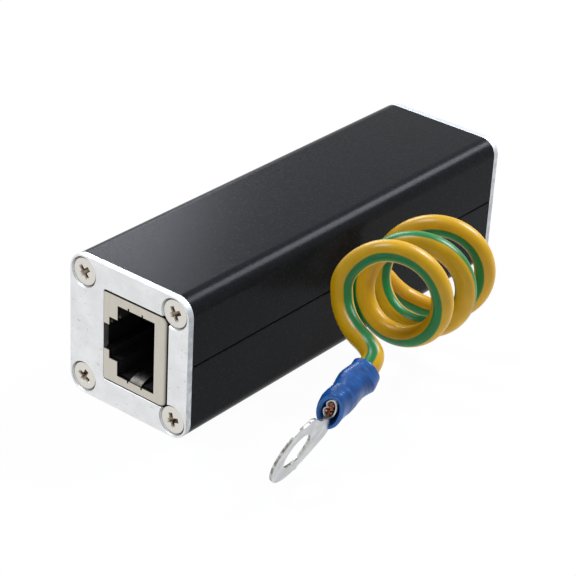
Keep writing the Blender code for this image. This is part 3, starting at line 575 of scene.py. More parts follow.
def sleeve_vinyl(blue, thin):
    """Moulded vinyl crimp sleeve: blue, glossy, paler where it is thin at its rim."""
    material, tree, shader, place = begin_material("vinyl_blue", blue, 0.34)
    body = shades(tree, place, 1.6, 3.0, darker(blue, 0.62), blue)[1]
    # The map's second axis is the share of the sleeve's length
    unwrapped = add_node(tree, "ShaderNodeUVMap", uv_map="sleeve")
    axes = add_node(tree, "ShaderNodeSeparateXYZ", {0: unwrapped})
    rim = add_node(tree, "ShaderNodeMapRange", {0: axes.outputs[1], 1: 0.94}, **EASED)
    tone = add_node(tree, "ShaderNodeMix", {0: rim, 6: body.outputs[2], 7: thin}, **COLOURS)
    pressed = {"Vector": place, "Scale": 1 / (0.9 * MM), "Detail": 3.0}
    pressed = add_node(tree, "ShaderNodeTexNoise", pressed)
    dress(tree, shader, tone, pressed, None, 0.3, 0.06)
    connect(tree, shader, {"IOR": 1.4})
    return material


def board_laminate():
    """Glass-epoxy board under black solder mask, with the raised lines of its copper tracks."""
    mask, track = colour("#0B0F0D"), colour("#16201A")
    material, tree, shader, place = begin_material("solder_mask_black", mask, 0.35)
    flat = {"Vector": place, "Rotation": (0.0, math.pi / 2, 0.0)}
    flat = add_node(tree, "ShaderNodeMapping", flat)
    lines = {"Vector": flat, "Scale": 1.0, "Brick Width": 9 * MM, "Row Height": 1.6 * MM}
    lines["Mortar Size"] = 0.3 * MM
    share = add_node(tree, "ShaderNodeTexBrick", lines, offset=0.5, squash=1.0).outputs["Fac"]
    tone = add_node(tree, "ShaderNodeMix", {0: share, 6: track, 7: mask}, **COLOURS)
    dress(tree, shader, tone, share, None, 0.3, 0.03)
    return material


def banded(name, body, band, middle, half, polish):
    """A part whose ends are metal beyond a height either side of its middle."""
    body, band = colour(body), colour(band)
    material, tree, shader, place = begin_material(name, body, 0.45)
    share = beyond(tree, place, 2, middle, half, half + 0.05)
    tone = add_node(tree, "ShaderNodeMix", {0: share, 6: body, 7: band}, **COLOURS)
    speckle = add_node(tree, "ShaderNodeTexNoise", {"Vector": place, "Scale": 1 / (0.5 * MM)})
    dress(tree, shader, tone, speckle, None, 0.2, 0.02)
    rough = add_node(tree, "ShaderNodeMapRange", {0: share, 3: 0.5, 4: polish}, **EASED)
    connect(tree, shader, {"Metallic": share, "Roughness": rough})
    return material


# Geometry Nodes


def begin_tree(name, inputs):
    """A Geometry Nodes tree with named inputs; returns it with its group input and output."""
    tree = bpy.data.node_groups.new(name, "GeometryNodeTree")
    tree.interface.new_socket(name="Geometry", in_out="INPUT", socket_type="NodeSocketGeometry")
    tree.interface.new_socket(name="Geometry", in_out="OUTPUT", socket_type="NodeSocketGeometry")
    for label, kind in inputs:
        tree.interface.new_socket(name=label, in_out="INPUT", socket_type="NodeSocket" + kind)
    return tree, add_node(tree, "NodeGroupInput").outputs, add_node(tree, "NodeGroupOutput")


def end_tree(tree, geometry, material, finish):
    """Realize the instances, give them their material and send them out."""
    real = add_node(tree, "GeometryNodeRealizeInstances", {0: geometry})
    painted = add_node(tree, "GeometryNodeSetMaterial", {"Geometry": real, "Material": material})
    connect(tree, finish, {0: painted})
    return tree


def run_tree(piece, tree, values):
    """Apply a tree to a piece with its inputs set by name."""
    step = piece.modifiers.new("nodes", "NODES")
    step.node_group = tree
    for item in tree.interface.items_tree:
        if item.in_out == "INPUT" and item.name in values:
            step[item.identifier] = values[item.name]
    return settle(piece)


def on_line(tree, count, start, step, model):
    """Repeat a model along a line, one step apart."""
    line = {"Count": count, "Start Location": start, "Offset": step}
    line = add_node(tree, "GeometryNodeMeshLine", line)
    return add_node(tree, "GeometryNodeInstanceOnPoints", {"Points": line, "Instance": model})


def scatter_tree():
    """Place a model on every point, turned by the point's own angles."""
    inputs = [("Model", "Object"), ("Size", "Float"), ("Material", "Material")]
    tree, values, finish = begin_tree("scatter_model", inputs)
    model = add_node(tree, "GeometryNodeObjectInfo", {"Object": values["Model"]})
    kind = "GeometryNodeInputNamedAttribute"
    turn = add_node(tree, kind, {"Name": "turn"}, data_type="FLOAT_VECTOR")
    angles = add_node(tree, "FunctionNodeEulerToRotation", {0: turn})
    feed = {"Points": values["Geometry"], "Instance": model.outputs["Geometry"]}
    feed.update({"Rotation": angles, "Scale": values["Size"]})
    placed = add_node(tree, "GeometryNodeInstanceOnPoints", feed)
    return end_tree(tree, placed, values["Material"], finish)


def row_tree():
    """Repeat two models in turn along Z, centred on the piece's own origin."""
    inputs = [("First", "Object"), ("Second", "Object"), ("Pairs", "Int"), ("Pitch", "Float")]
    tree, values, finish = begin_tree("paired_row", inputs + [("Material", "Material")])
    double = add_node(tree, "ShaderNodeMath", {0: values["Pitch"], 1: 2.0}, operation="MULTIPLY")
    step = add_node(tree, "ShaderNodeCombineXYZ", {2: double})
    span = add_node(tree, "ShaderNodeMath", {0: values["Pairs"], 1: double}, operation="MULTIPLY")
    joined = add_node(tree, "GeometryNodeJoinGeometry")
    for label, shift in (("First", 0.5), ("Second", 1.5)):
        half = add_node(tree, "ShaderNodeMath", {0: span, 1: -0.5}, operation="MULTIPLY")
        lead = {0: values["Pitch"], 1: shift, 2: half}
        start = add_node(tree, "ShaderNodeMath", lead, operation="MULTIPLY_ADD")
        origin = add_node(tree, "ShaderNodeCombineXYZ", {2: start})
        model = add_node(tree, "GeometryNodeObjectInfo", {"Object": values[label]})
        placed = on_line(tree, values["Pairs"], origin, step, model.outputs["Geometry"])
        connect(tree, joined, {0: placed})
    return end_tree(tree, joined, values["Material"], finish)


def comb_tree():
    """A row of thin ribs along Z, all of one size and an equal pitch apart."""
    inputs = [("Count", "Int"), ("Pitch", "Float"), ("Rib size", "Vector"), ("Middle", "Vector")]
    tree, values, finish = begin_tree("rib_comb", inputs + [("Material", "Material")])
    less = add_node(tree, "ShaderNodeMath", {0: values["Count"], 1: 1.0}, operation="SUBTRACT")
    span = add_node(tree, "ShaderNodeMath", {0: less, 1: values["Pitch"]}, operation="MULTIPLY")
    half = add_node(tree, "ShaderNodeMath", {0: span, 1: -0.5}, operation="MULTIPLY")
    low = add_node(tree, "ShaderNodeCombineXYZ", {2: half})
    start = {0: values["Middle"], 1: low}
    start = add_node(tree, "ShaderNodeVectorMath", start, operation="ADD")
    step = add_node(tree, "ShaderNodeCombineXYZ", {2: values["Pitch"]})
    rib = add_node(tree, "GeometryNodeMeshCube", {"Size": values["Rib size"]})
    placed = on_line(tree, values["Count"], start, step, rib)
    return end_tree(tree, placed, values["Material"], finish)


def strand_tree():
    """Copper strands on every point, each with its own splay from a fixed seed."""
    inputs = [("Radius", "Float"), ("Length", "Float"), ("Splay", "Float"), ("Seed", "Int")]
    tree, values, finish = begin_tree("copper_strands", inputs + [("Material", "Material")])
    feed = {"Vertices": 10, "Radius": values["Radius"], "Depth": values["Length"]}
    strand = add_node(tree, "GeometryNodeMeshCylinder", feed)
    upright = {"Geometry": strand, "Rotation": (0.0, math.pi / 2, 0.0)}
    laid = add_node(tree, "GeometryNodeTransform", upright)
    less = add_node(tree, "ShaderNodeMath", {0: values["Splay"], 1: -1.0}, operation="MULTIPLY")
    low = add_node(tree, "ShaderNodeCombineXYZ", {1: less, 2: less})
    high = add_node(tree, "ShaderNodeCombineXYZ", {1: values["Splay"], 2: values["Splay"]})
    feed = {0: low, 1: high, "Seed": values["Seed"]}
    lean = add_node(tree, "FunctionNodeRandomValue", feed, data_type="FLOAT_VECTOR")
    turn = add_node(tree, "FunctionNodeEulerToRotation", {0: lean})
    feed = {"Points": values["Geometry"], "Instance": laid, "Rotation": turn}
    placed = add_node(tree, "GeometryNodeInstanceOnPoints", feed)
    return end_tree(tree, placed, values["Material"], finish)


# Earth wire


def coil_point(turn):
    """Centre of the wire after a number of turns of the coil."""
    share = turn / TURNS
    centre = REAR_CENTRE.lerp(FRONT_CENTRE, share) + CENTRE_BOW * 4 * share * (1 - share)
    across = REAR_ACROSS.lerp(FRONT_ACROSS, share)
    up = REAR_UP.lerp(FRONT_UP, share)
    angle = 2 * math.pi * turn
    return WIRE_EXIT + centre + across * math.sin(angle) - up * math.cos(angle)


def smooth_route(points, step):
    """Evenly spaced points on a Catmull-Rom curve through the given points."""
    spots = [points[0] * 2 - points[1]] + points + [points[-1] * 2 - points[-2]]
    dense = []
    for index in range(1, len(spots) - 2):
        a, b, c, d = spots[index - 1:index + 3]
        for part in range(24):
            t = part / 24
            bend = (2 * a - 5 * b + 4 * c - d) * t * t + (3 * b - a - 3 * c + d) * t ** 3
            dense.append((2 * b + (c - a) * t + bend) / 2)
    dense.append(spots[-2])
    length = sum((after - before).length for before, after in zip(dense, dense[1:]))
    count = round(length / step)
    route = [dense[0]]
    walked = 0.0
    for before, after in zip(dense, dense[1:]):
        span = (after - before).length
        while len(route) < count and walked + span >= length * len(route) / count:
            route.append(before.lerp(after, (length * len(route) / count - walked) / span))
        walked += span
    route.append(dense[-1])
    return route


def wire_route():
    """The whole centreline, from inside the case's wall to inside the sleeve."""
    points = [WIRE_EXIT + Vector(point) for point in LEAD_POINTS]
    count = round((TURNS - 1 / 8) * 16)
    points += [coil_point(index / 16) for index in range(count + 1)]
    points += [WIRE_EXIT + Vector(point) for point in TAIL_POINTS]
    points.append(WIRE_EXIT + TERMINAL_REAR + TERMINAL_AXIS.normalized() * WIRE_IN_SLEEVE)
    return smooth_route(points, WIRE_STEP)


def stripe_angle(distance):
    """Angle of the first green stripe at a distance along the wire."""
    for (start, first), (end, second) in zip(STRIPE_COURSE, STRIPE_COURSE[1:]):
        if distance <= end:
            return first + (second - first) * ease((distance - start) / (end - start))
    return STRIPE_COURSE[-1][1]


def sheath_mesh(route, radius, sides):
    """A tube along the route whose map holds the angle from the stripe and the distance."""
    shape = bmesh.new()
    sheet = shape.loops.layers.uv.new("sheath")
    tangent = (route[1] - route[0]).normalized()
    upward = Vector((0.0, 0.0, 1.0))
    upward = (upward - tangent * upward.dot(tangent)).normalized()
    rings = []
    marks = []
    walked = 0.0
    for index, spot in enumerate(route):
        before = route[max(0, index - 1)]
        after = route[min(len(route) - 1, index + 1)]
        walked += (spot - before).length
        new_tangent = (after - before).normalized()
        upward.rotate(tangent.rotation_difference(new_tangent))
        tangent = new_tangent
        aside = tangent.cross(upward)
        ring = []
        for side in range(sides):
            angle = 2 * math.pi * side / sides
            reach = (upward * math.cos(angle) + aside * math.sin(angle)) * radius
            ring.append(shape.verts.new(spot + reach))
        rings.append(ring)
        marks.append((stripe_angle(walked) / 360.0, walked * MM))
    skin_mapped(shape, sheet, rings, marks)
    shape.faces.new(rings[0])
    shape.faces.new(rings[-1][::-1])
    return shape


# Ring terminal


def terminal_place():
    """Frame of the ring terminal in millimetres."""
    axis = TERMINAL_AXIS.normalized()
    side = TERMINAL_FACE.cross(axis).normalized()
    turn = Matrix((axis, side, axis.cross(side))).transposed().to_4x4()
    return Matrix.Translation(WIRE_EXIT + TERMINAL_REAR) @ turn


def sleeve_mesh(place, sides=72):
    """The crimped sleeve with its bore; its map holds the angle and the share of its length."""
    shape = bmesh.new()
    sheet = shape.loops.layers.uv.new("sleeve")
    rows = []
    for first, second in zip(SLEEVE_OUTSIDE, SLEEVE_OUTSIDE[1:]):
        steps = max(1, round((second[0] - first[0]) / 0.16))
        for step in range(steps):
            share = step / steps
            row = [a + (b - a) * ease(share) for a, b in zip(first, second)]
            rows.append([first[0] + (second[0] - first[0]) * share, *row[1:]])
    rows += [list(row) for row in (SLEEVE_OUTSIDE[-1], *SLEEVE_INSIDE)]
    rings = []
    for x, wide, low, high, power in rows:
        ring = []
        slant = ease((x - 5.0) / 4.6)
        for side in range(sides):
            angle = 2 * math.pi * side / sides
            # The crimping jaws leave flats, so a squeezed section is squarer than an oval
            y = wide * math.copysign(abs(math.cos(angle)) ** power, math.cos(angle))
            reach = high if side < sides / 2 else low
            z = reach * math.copysign(abs(math.sin(angle)) ** power, math.sin(angle))
            ring.append(shape.verts.new(place @ slanted(x, y, z, slant)))
        rings.append(ring)
    marks = [(0.0, row[0] / SLEEVE_LENGTH) for row in rows]
    skin_mapped(shape, sheet, rings, marks, closed=True)
    return shape


def slanted(x, y, z, share=1.0):
    """Lean a section of the sleeve or the barrel the way the crimp pushed its mouth."""
    return Vector((x + share * (CRIMP_LEAN[0] * y + CRIMP_LEAN[1] * z), y, z))


def barrel_point(x, degrees, wall):
    """A point on the crimped barrel, its wall running in from the outside; the seam is dented."""
    angle = math.radians(degrees)
    from_seam = (angle - math.radians(DENT_ANGLE)) / 2
    dent = DENT_DEPTH * math.exp(-(math.sin(from_seam) * 8) ** 2)
    y = BARREL_MIDDLE[0] + (BARREL_WIDE - wall - dent) * math.cos(angle)
    z = BARREL_MIDDLE[1] + (BARREL_HIGH - wall - dent) * math.sin(angle)
    return slanted(x, y, z)


def tongue_mesh(place):
    """The ring and its tongue as one thin flat sheet that curls into the barrel's rim."""
    shape = bmesh.new()
    ring_place = Matrix.Translation(RING_SPOT) @ Matrix.Rotation(math.radians(RING_TILT), 4, "Y")
    columns = 12
    start, finish = (Vector(spot) for spot in NECK)
    outline = [start.lerp(finish, index / columns) for index in range(columns + 1)]
    outline += [Vector(spot) for spot in SHOULDER]
    first = math.degrees(math.atan2(SHOULDER[-1][1], SHOULDER[-1][0])) - 4
    for x, y in arc((0.0, 0.0), RING_RADIUS, first, -113, 76):
        # The carrier strip that the terminal was sheared from leaves a nub on the rim
        away = (math.degrees(math.atan2(y, x)) - NUB_ANGLE) / NUB_HALF_ANGLE
        outline.append(Vector((x, y)) * (1 + NUB_HEIGHT * math.exp(-away ** 4)))
    outline += [Vector(spot) for spot in CHEEK]
    rings = []
    for share in (0.0, 0.12, 0.5, 0.88, 1.0):
        ring = []
        for away in outline:
            spot = (away.normalized() * RING_HOLE_RADIUS).lerp(away, share)
            ring.append(shape.verts.new(place @ ring_place @ Vector((spot.x, spot.y, 0.0))))
        rings.append(ring)
    count = len(outline)
    for inside, outside in zip(rings, rings[1:]):
        for index in range(count):
            after = (index + 1) % count
            shape.faces.new((inside[index], outside[index], outside[after], inside[after]))
    edge = rings[-1][:columns + 1]
    steps = 8
    for step in range(1, steps + 1):
        share = step / steps
        row = []
        for column in range(columns + 1):
            start = ring_place @ Vector((*outline[column], 0.0))
            angle = TONGUE_HALF_ANGLE * (2 * column / columns - 1)
            finish = barrel_point(BARREL_MOUTH - TONGUE_SETBACK, angle, BARREL_WALL / 2)
            row.append(shape.verts.new(place @ start.lerp(finish, share)))
        for column in range(columns):
            shape.faces.new((edge[column], row[column], row[column + 1], edge[column + 1]))
        edge = row
    return shape


def barrel_mesh(place, shape):
    """The rolled and flattened barrel with a rounded rim."""
    mouth = BARREL_MOUTH
    outside = [(BARREL_START, 0.0), (mouth - 0.1, 0.0), (mouth, 0.08)]
    inside = [(mouth, BARREL_WALL - 0.08), (mouth - 0.1, BARREL_WALL), (BARREL_START, BARREL_WALL)]
    sections = []
    for x, wall in outside + inside:
        sections.append([place @ barrel_point(x, 5 * side, wall) for side in range(72)])
    return loft(sections, shape, closed=True)


# Case and jacks


def screw_port(side, level):
    """One open screw port of the extrusion, from the side wall round to the floor or roof."""
    meet = math.degrees(math.acos((SCREW_INSET - WALL) / PORT_RADIUS))
    outer_half = math.degrees(math.asin(PORT_SLOT / 2 / PORT_RADIUS))
    inner_half = math.degrees(math.asin(PORT_SLOT / 2 / PORT_HOLE))
    points = arc((0, 0), PORT_RADIUS, -meet, -135 + outer_half, 8)
    points += arc((0, 0), PORT_HOLE, -135 + inner_half, 225 - inner_half, 24)
    points += arc((0, 0), PORT_RADIUS, -135 - outer_half, -270 + meet, 8)
    middle = CASE_HEIGHT - SCREW_INSET if level > 0 else SCREW_INSET
    return [(side * (HALF_WIDTH - SCREW_INSET + x), middle + level * z) for x, z in points]


def shell_outline(level, seam_gap):
    """Section of one half of the extrusion: level 1 is the upper half, -1 the lower."""
    corner = CASE_HEIGHT - CORNER_RADIUS if level > 0 else CORNER_RADIUS
    inside = CASE_HEIGHT - WALL if level > 0 else WALL
    skin = (WALL - CLEARANCE) / 2
    lip = SEAM_HEIGHT + level * seam_gap / 2
    rebate = SEAM_HEIGHT + LAP_HEIGHT + (CLEARANCE if level > 0 else 0.0)
    step = HALF_WIDTH - (skin if level > 0 else skin + CLEARANCE)
    points = [(HALF_WIDTH - SEAM_EDGE, lip), (HALF_WIDTH, lip + level * SEAM_EDGE)]
    points += arc((HALF_WIDTH - CORNER_RADIUS, corner), CORNER_RADIUS, 0, level * 90, 24)
    points += arc((CORNER_RADIUS - HALF_WIDTH, corner), CORNER_RADIUS, level * 90, level * 180, 24)
    points += [(-HALF_WIDTH, lip + level * SEAM_EDGE), (SEAM_EDGE - HALF_WIDTH, lip)]
    points += [(-step, lip), (-step, rebate), (WALL - HALF_WIDTH, rebate)]
    points += screw_port(-1, level)
    rib = BOARD_FACE + CLEARANCE
    points += [(rib, inside), (rib, inside - level * RIB_DEPTH)]
    points += [(rib + RIB_THICKNESS, inside - level * RIB_DEPTH), (rib + RIB_THICKNESS, inside)]
    points += screw_port(1, level)[::-1]
    points += [(HALF_WIDTH - WALL, rebate), (step, rebate), (step, lip)]
    return points


def grommet_place():
    """Frame of the grommet in millimetres, on the wall's outside with Z out of it."""
    spot = Matrix.Translation((HALF_WIDTH, WIRE_EXIT.y, SEAM_HEIGHT))
    return spot @ along((1, 0, 0))


def screw_places():
    """Axis of each end screw in X and Z."""
    spread = HALF_WIDTH - SCREW_INSET
    heights = (CASE_HEIGHT - SCREW_INSET, SCREW_INSET)
    return [(side * spread, height) for height in heights for side in (-1, 1)]


def make_plate(name, end, edge, head_sink, materials):
    """One end plate with softened edges, the jack's window and four sunk screw seats."""
    outside = end * OVERALL_LENGTH / 2
    rim = [(0, edge), (edge * 0.3, edge * 0.3), (edge, 0)]
    rim += [(PLATE_THICKNESS - 0.06, 0), (PLATE_THICKNESS, 0.06)]
    sections = []
    for depth, inset in rim:
        low = (-HALF_WIDTH + inset, inset)
        high = (HALF_WIDTH - inset, CASE_HEIGHT - inset)
        ring = rounded_rectangle(low, high, CORNER_RADIUS - inset, 16)
        sections.append([(x, outside - end * depth, z) for x, z in ring])
    plate = make_piece(name, loft(sections), materials)
    # The jack lies against two sides of its window and leaves a dark gap at the other two
    low = (JACK_BASE - 0.08, JACK_MIDDLE - JACK_WIDTH / 2 - 0.14)
    high = (JACK_BASE + JACK_HEIGHT + 0.34, JACK_MIDDLE + JACK_WIDTH / 2 + 0.38)
    sections = []
    for depth, grow in ((-1.0, 0.06), (0.0, 0.06), (0.08, 0.0), (PLATE_THICKNESS + 1.0, 0.0)):
        corners = [(low[0] - grow, low[1] - grow), (high[0] + grow, high[1] + grow)]
        ring = rounded_rectangle(*corners, 0.5 + grow, 8)
        sections.append([(x, outside - end * depth, z) for x, z in ring])
    cut(plate, loft(sections))
    seats = bmesh.new()
    for x, z in screw_places():
        place = Matrix.Translation((x, outside, z)) @ along((0, end, 0))
        wide = SCREW_HEAD_RADIUS + SEAT_GAP
        profile = [(wide + 0.07, 0.5), (wide + 0.07, 0.0), (wide, -0.07)]
        profile += [(wide - 0.05, -head_sink - 0.1), (wide - 0.85, -head_sink - 0.85)]
        profile.append((wide - 0.85, -PLATE_THICKNESS - 0.5))
        turned(profile, 64, place=place, shape=seats)
    cut(plate, seats)
    for face in plate.data.polygons:
        face.material_index = int(abs(face.normal.y) < 0.5)
    return plate


def make_screw_model():
    """One countersunk screw, head up at the origin, with a tapered cross recess."""
    cone = SCREW_HEAD_RADIUS - SCREW_CORE_RADIUS
    profile = [(0.9, 0.05), (SCREW_HEAD_RADIUS - 0.25, 0.02), (SCREW_HEAD_RADIUS - 0.07, -0.04)]
    profile += [(SCREW_HEAD_RADIUS, -0.13), (SCREW_HEAD_RADIUS - 0.02, -0.22)]
    profile += [(SCREW_CORE_RADIUS, -0.22 - cone * 0.9), (SCREW_CORE_RADIUS, -SCREW_SHANK)]
    model = make_piece("screw_model", turned(profile, 64))
    for turn in (0.0, math.pi / 2):
        spin = Matrix.Rotation(turn, 4, "Z")
        sections = []
        for height, reach, half in RECESS:
            ring = [(reach, half), (-reach, half), (-reach, -half), (reach, -half)]
            sections.append([spin @ Vector((x, y, height)) for x, y in ring])
        cut(model, loft(sections))
    hollow = turned([(0.72, 0.3), (0.6, 0.0), (0.34, -0.95)], 24)
    cut(model, hollow)
    return model


def jack_place(end):
    """Frame of a jack in millimetres; the rear jack is turned about X."""
    turn = Matrix.Rotation(0.0 if end < 0 else math.pi, 4, "X")
    return Matrix.Translation((JACK_BASE, end * JACK_FACE, JACK_MIDDLE)) @ turn


def socket_outline(top, notch_width=0.0, notch_depth=0.0, notch_places=()):
    """Outline of the plug's opening, with a notch at each side of its two spring tabs."""
    half = SOCKET_WIDTH / 2
    shoulder = LATCH_SHOULDER_WIDTH / 2
    slot = LATCH_SLOT_WIDTH / 2
    low = SOCKET_FLOOR - LATCH_STEP
    right = [(-1.0, slot), (low, slot), (low, shoulder), (SOCKET_FLOOR, shoulder)]
    right.append((SOCKET_FLOOR, half))
    for place in notch_places:
        start = place - notch_width / 2
        finish = place + notch_width / 2
        right += [(start, half), (start, half + notch_depth)]
        right += [(finish, half + notch_depth), (finish, half)]
    right.append((top, half))
    return right + [(x, -z) for x, z in right[::-1]]


def shield_outline(inset, bend):
    """Folded section of the shield, open at the board, moved inwards by an inset."""
    half = JACK_WIDTH / 2 - inset
    top = JACK_HEIGHT - inset
    points = [(0.0, -half), (0.0, half)]
    points += arc((top - bend, half - bend), bend, 90, 0, 10)
    points += arc((top - bend, bend - half), bend, 0, -90, 10)
    return points


def make_shield(name, end, bend, materials):
    """One jack shield: a folded box with rounded front edges, two spring tabs and two legs."""
    # Depth, inset of the face's edge, and how far the far edge is rolled round
    folds = [(-0.2, 0.2, 1.1), (-0.18, 0.12, 0.72), (-0.12, 0.04, 0.42), (0.0, 0.0, 0.2)]
    folds += [(0.15, 0.0, 0.07), (0.4, 0.0, 0.0), (JACK_DEPTH, 0.0, 0.0)]
    sections = []
    for depth, inset, roll in folds:
        outline = shield_outline(inset, bend - inset)
        start = JACK_HEIGHT - 1.85
        sections.append([(x - roll * ease((x - start) / 1.2), depth, z) for x, z in outline])
    shield = make_piece(name, loft(sections), materials)
    hollow = shield_outline(SHIELD_WALL, bend - SHIELD_WALL)
    hollow[0] = (-1.0, hollow[0][1])
    hollow[1] = (-1.0, hollow[1][1])
    cut(shield, prism(hollow, SHIELD_WALL - 0.2, JACK_DEPTH - SHIELD_WALL))
    notches = (TAB_LOW - 0.25, TAB_HIGH + 0.25)
    opening = socket_outline(SOCKET_ROOF, TAB_NOTCH, 0.4, notches)
    cut(shield, prism(opening, -1.0, SHIELD_WALL + 0.5))
    extras = bmesh.new()
    for side in (-1, 1):
        edge = side * SOCKET_WIDTH / 2
        path = [(-0.1, 0.3), (0.0, 0.05), (0.3, -0.25), (0.8, -0.52)]
        path += [(1.5, -0.76), (2.3, -0.86), (3.1, -0.78)]
        sections = []
        for depth, rise in path:
            spot = edge + side * rise
            under = spot + side * TAB_THICKNESS
            sections.append([
                (TAB_LOW, depth, spot), (TAB_HIGH, depth, spot),
                (TAB_HIGH, depth + 0.08, under), (TAB_LOW, depth + 0.08, under),
            ])
        loft(sections, extras)
        outer = side * JACK_WIDTH / 2
        inner = side * (JACK_WIDTH / 2 - SHIELD_WALL)
        low, high = sorted((outer, inner))
        sections = []
        for x, share in ((1.0, 1.0), (-1.6, 1.0), (-PIN_REACH, 0.45)):
            reach = LEG_WIDTH / 2 * share
            sections.append([
                (x, LEG_SETBACK - reach, low), (x, LEG_SETBACK + reach, low),
                (x, LEG_SETBACK + reach, high), (x, LEG_SETBACK - reach, high),
            ])
        loft(sections, extras)
    bmesh.ops.recalc_face_normals(extras, faces=extras.faces)
    cut(shield, extras, "UNION")
    # The spring tabs take their own nickel, darkened as painted shade for their place deep in the
    # socket
    for face in shield.data.polygons:
        spot = face.center / MM
        across = abs(spot.z) < SOCKET_WIDTH / 2 + 0.6
        if across and spot.y > 0.05 and TAB_LOW - 0.05 < spot.x < TAB_HIGH + 0.05:
            face.material_index = 1
    move(shield, jack_place(end))
    return shield


def contact_model(name, pin):
    """One spring contact as a bent strip: tip in the socket, run along the roof, pin."""
    tip = SOCKET_ROOF - CONTACT_DROP
    path = [(tip, CONTACT_TIP_DEPTH), (CONTACT_RUN - 0.85, CONTACT_BEND + 0.45)]
    path += [(CONTACT_RUN - 0.6, CONTACT_BEND + 0.14), (CONTACT_RUN - 0.3, CONTACT_BEND + 0.02)]
    path += [(CONTACT_RUN - 0.08, CONTACT_BEND + 0.3), (CONTACT_RUN, CONTACT_BEND + 0.8)]
    path += [(CONTACT_RUN, pin - 0.5), (CONTACT_RUN - 0.15, pin - 0.15), (CONTACT_RUN - 0.5, pin)]
    path += [(0.0, pin), (-PIN_REACH, pin)]
    spots = [Vector((x, y, 0.0)) for x, y in path]
    shape = bmesh.new()
    sections = []
    half = CONTACT_WIDTH / 2
    for index, spot in enumerate(spots):
        before = spots[max(0, index - 1)]
        after = spots[min(len(spots) - 1, index + 1)]
        run = (after - before).normalized()
        aside = Vector((-run.y, run.x, 0.0)) * CONTACT_THICKNESS / 2
        sections.append([
            spot + aside + Vector((0, 0, half)), spot - aside + Vector((0, 0, half)),
            spot - aside - Vector((0, 0, half)), spot + aside - Vector((0, 0, half)),
        ])
    loft(sections, shape)
    return make_piece(name, shape)


def drop(*models):
    """Remove models that were only there to be repeated."""
    for model in models:
        bpy.data.objects.remove(model, do_unlink=True)


# Settings


def length_setting(name, value, least, words):
    """A length that the user can set, given here in millimetres and kept in metres."""
    return bpy.props.FloatProperty(
        name=name, description=words, default=value * MM, min=least * MM, subtype="DISTANCE",
    )


def power_setting(name, value, words):
    """A lamp's power, in watts, that the user can set."""
    return bpy.props.FloatProperty(
        name=name, description=words, default=value, min=0.0, subtype="POWER",
    )


def colour_setting(name, code, words):
    """A colour that the user can set."""
    return bpy.props.FloatVectorProperty(
        name=name, description=words, default=colour(code),
        size=4, subtype="COLOR", min=0.0, max=1.0,
    )


class SurgeCaseSettings(bpy.types.PropertyGroup):
    """Sizes of the case's visible edges and fasteners, and its colours."""

    seam_gap: length_setting("Seam gap", 0.22, 0.02, "Width of the line between the two shells")
    edge: length_setting("Plate edge", 0.22, 0.05, "Radius of the end plates' softened edges")
    head_sink: length_setting("Screw sink", 0.2, 0.0, "How far the heads sit below the plate")
    shield_bend: length_setting("Shield bend", 1.0, 0.5, "Outer bend radius of the jack shield")
    shell_colour: colour_setting("Shells", "#212224", "Colour of the anodised shells")
    plate_colour: colour_setting("Plates", "#E9EAEB", "Colour of the bare end plates")


class SurgeWireSettings(bpy.types.PropertyGroup):
    """Sizes and colours of the earth wire and its terminal."""

    sides: bpy.props.IntProperty(
        name="Sides", default=48, min=12, description="Faces around the wire",
    )
    strand_radius: length_setting("Strand radius", 0.19, 0.05, "Radius of one copper strand")
    sheet: length_setting("Ring thickness", 0.45, 0.1, "Thickness of the ring terminal's sheet")
    seed: bpy.props.IntProperty(
        name="Seed", default=4, description="Seed of the strands' splay",
    )
    sheath_colour: colour_setting("Sheath", "#E0AC0E", "Main colour of the wire's insulation")
    stripe_colour: colour_setting("Stripes", "#12813C", "Colour of the wire's two stripes")
    sleeve_colour: colour_setting("Sleeve", "#155AA4", "Colour of the crimped sleeve")
    rim_colour: colour_setting("Sleeve rim", "#3B7FD0", "Colour of the sleeve's thin mouth")


class SurgeStageSettings(bpy.types.PropertyGroup):
    """Floor, lamps and background."""

    key_power: power_setting("Key lamp", 4.6, "Power of the lamp high above the left side")
    sheen_power: power_setting("Sheen lamp", 0.84, "Power of the lamp that the case's top mirrors")
    edge_power: power_setting("Edge lamp", 11.0, "Power of the lamp that the long edge mirrors")
    lamp_colour: colour_setting("Lamp colour", "#EEF3FF", "Colour of all three lamps")
    sky_colour: colour_setting("Sky colour", "#F2F4F7", "Colour of the soft light from all round")
    floor_colour: colour_setting("Floor colour", "#F4F4F4", "Colour of the floor")


# Operators


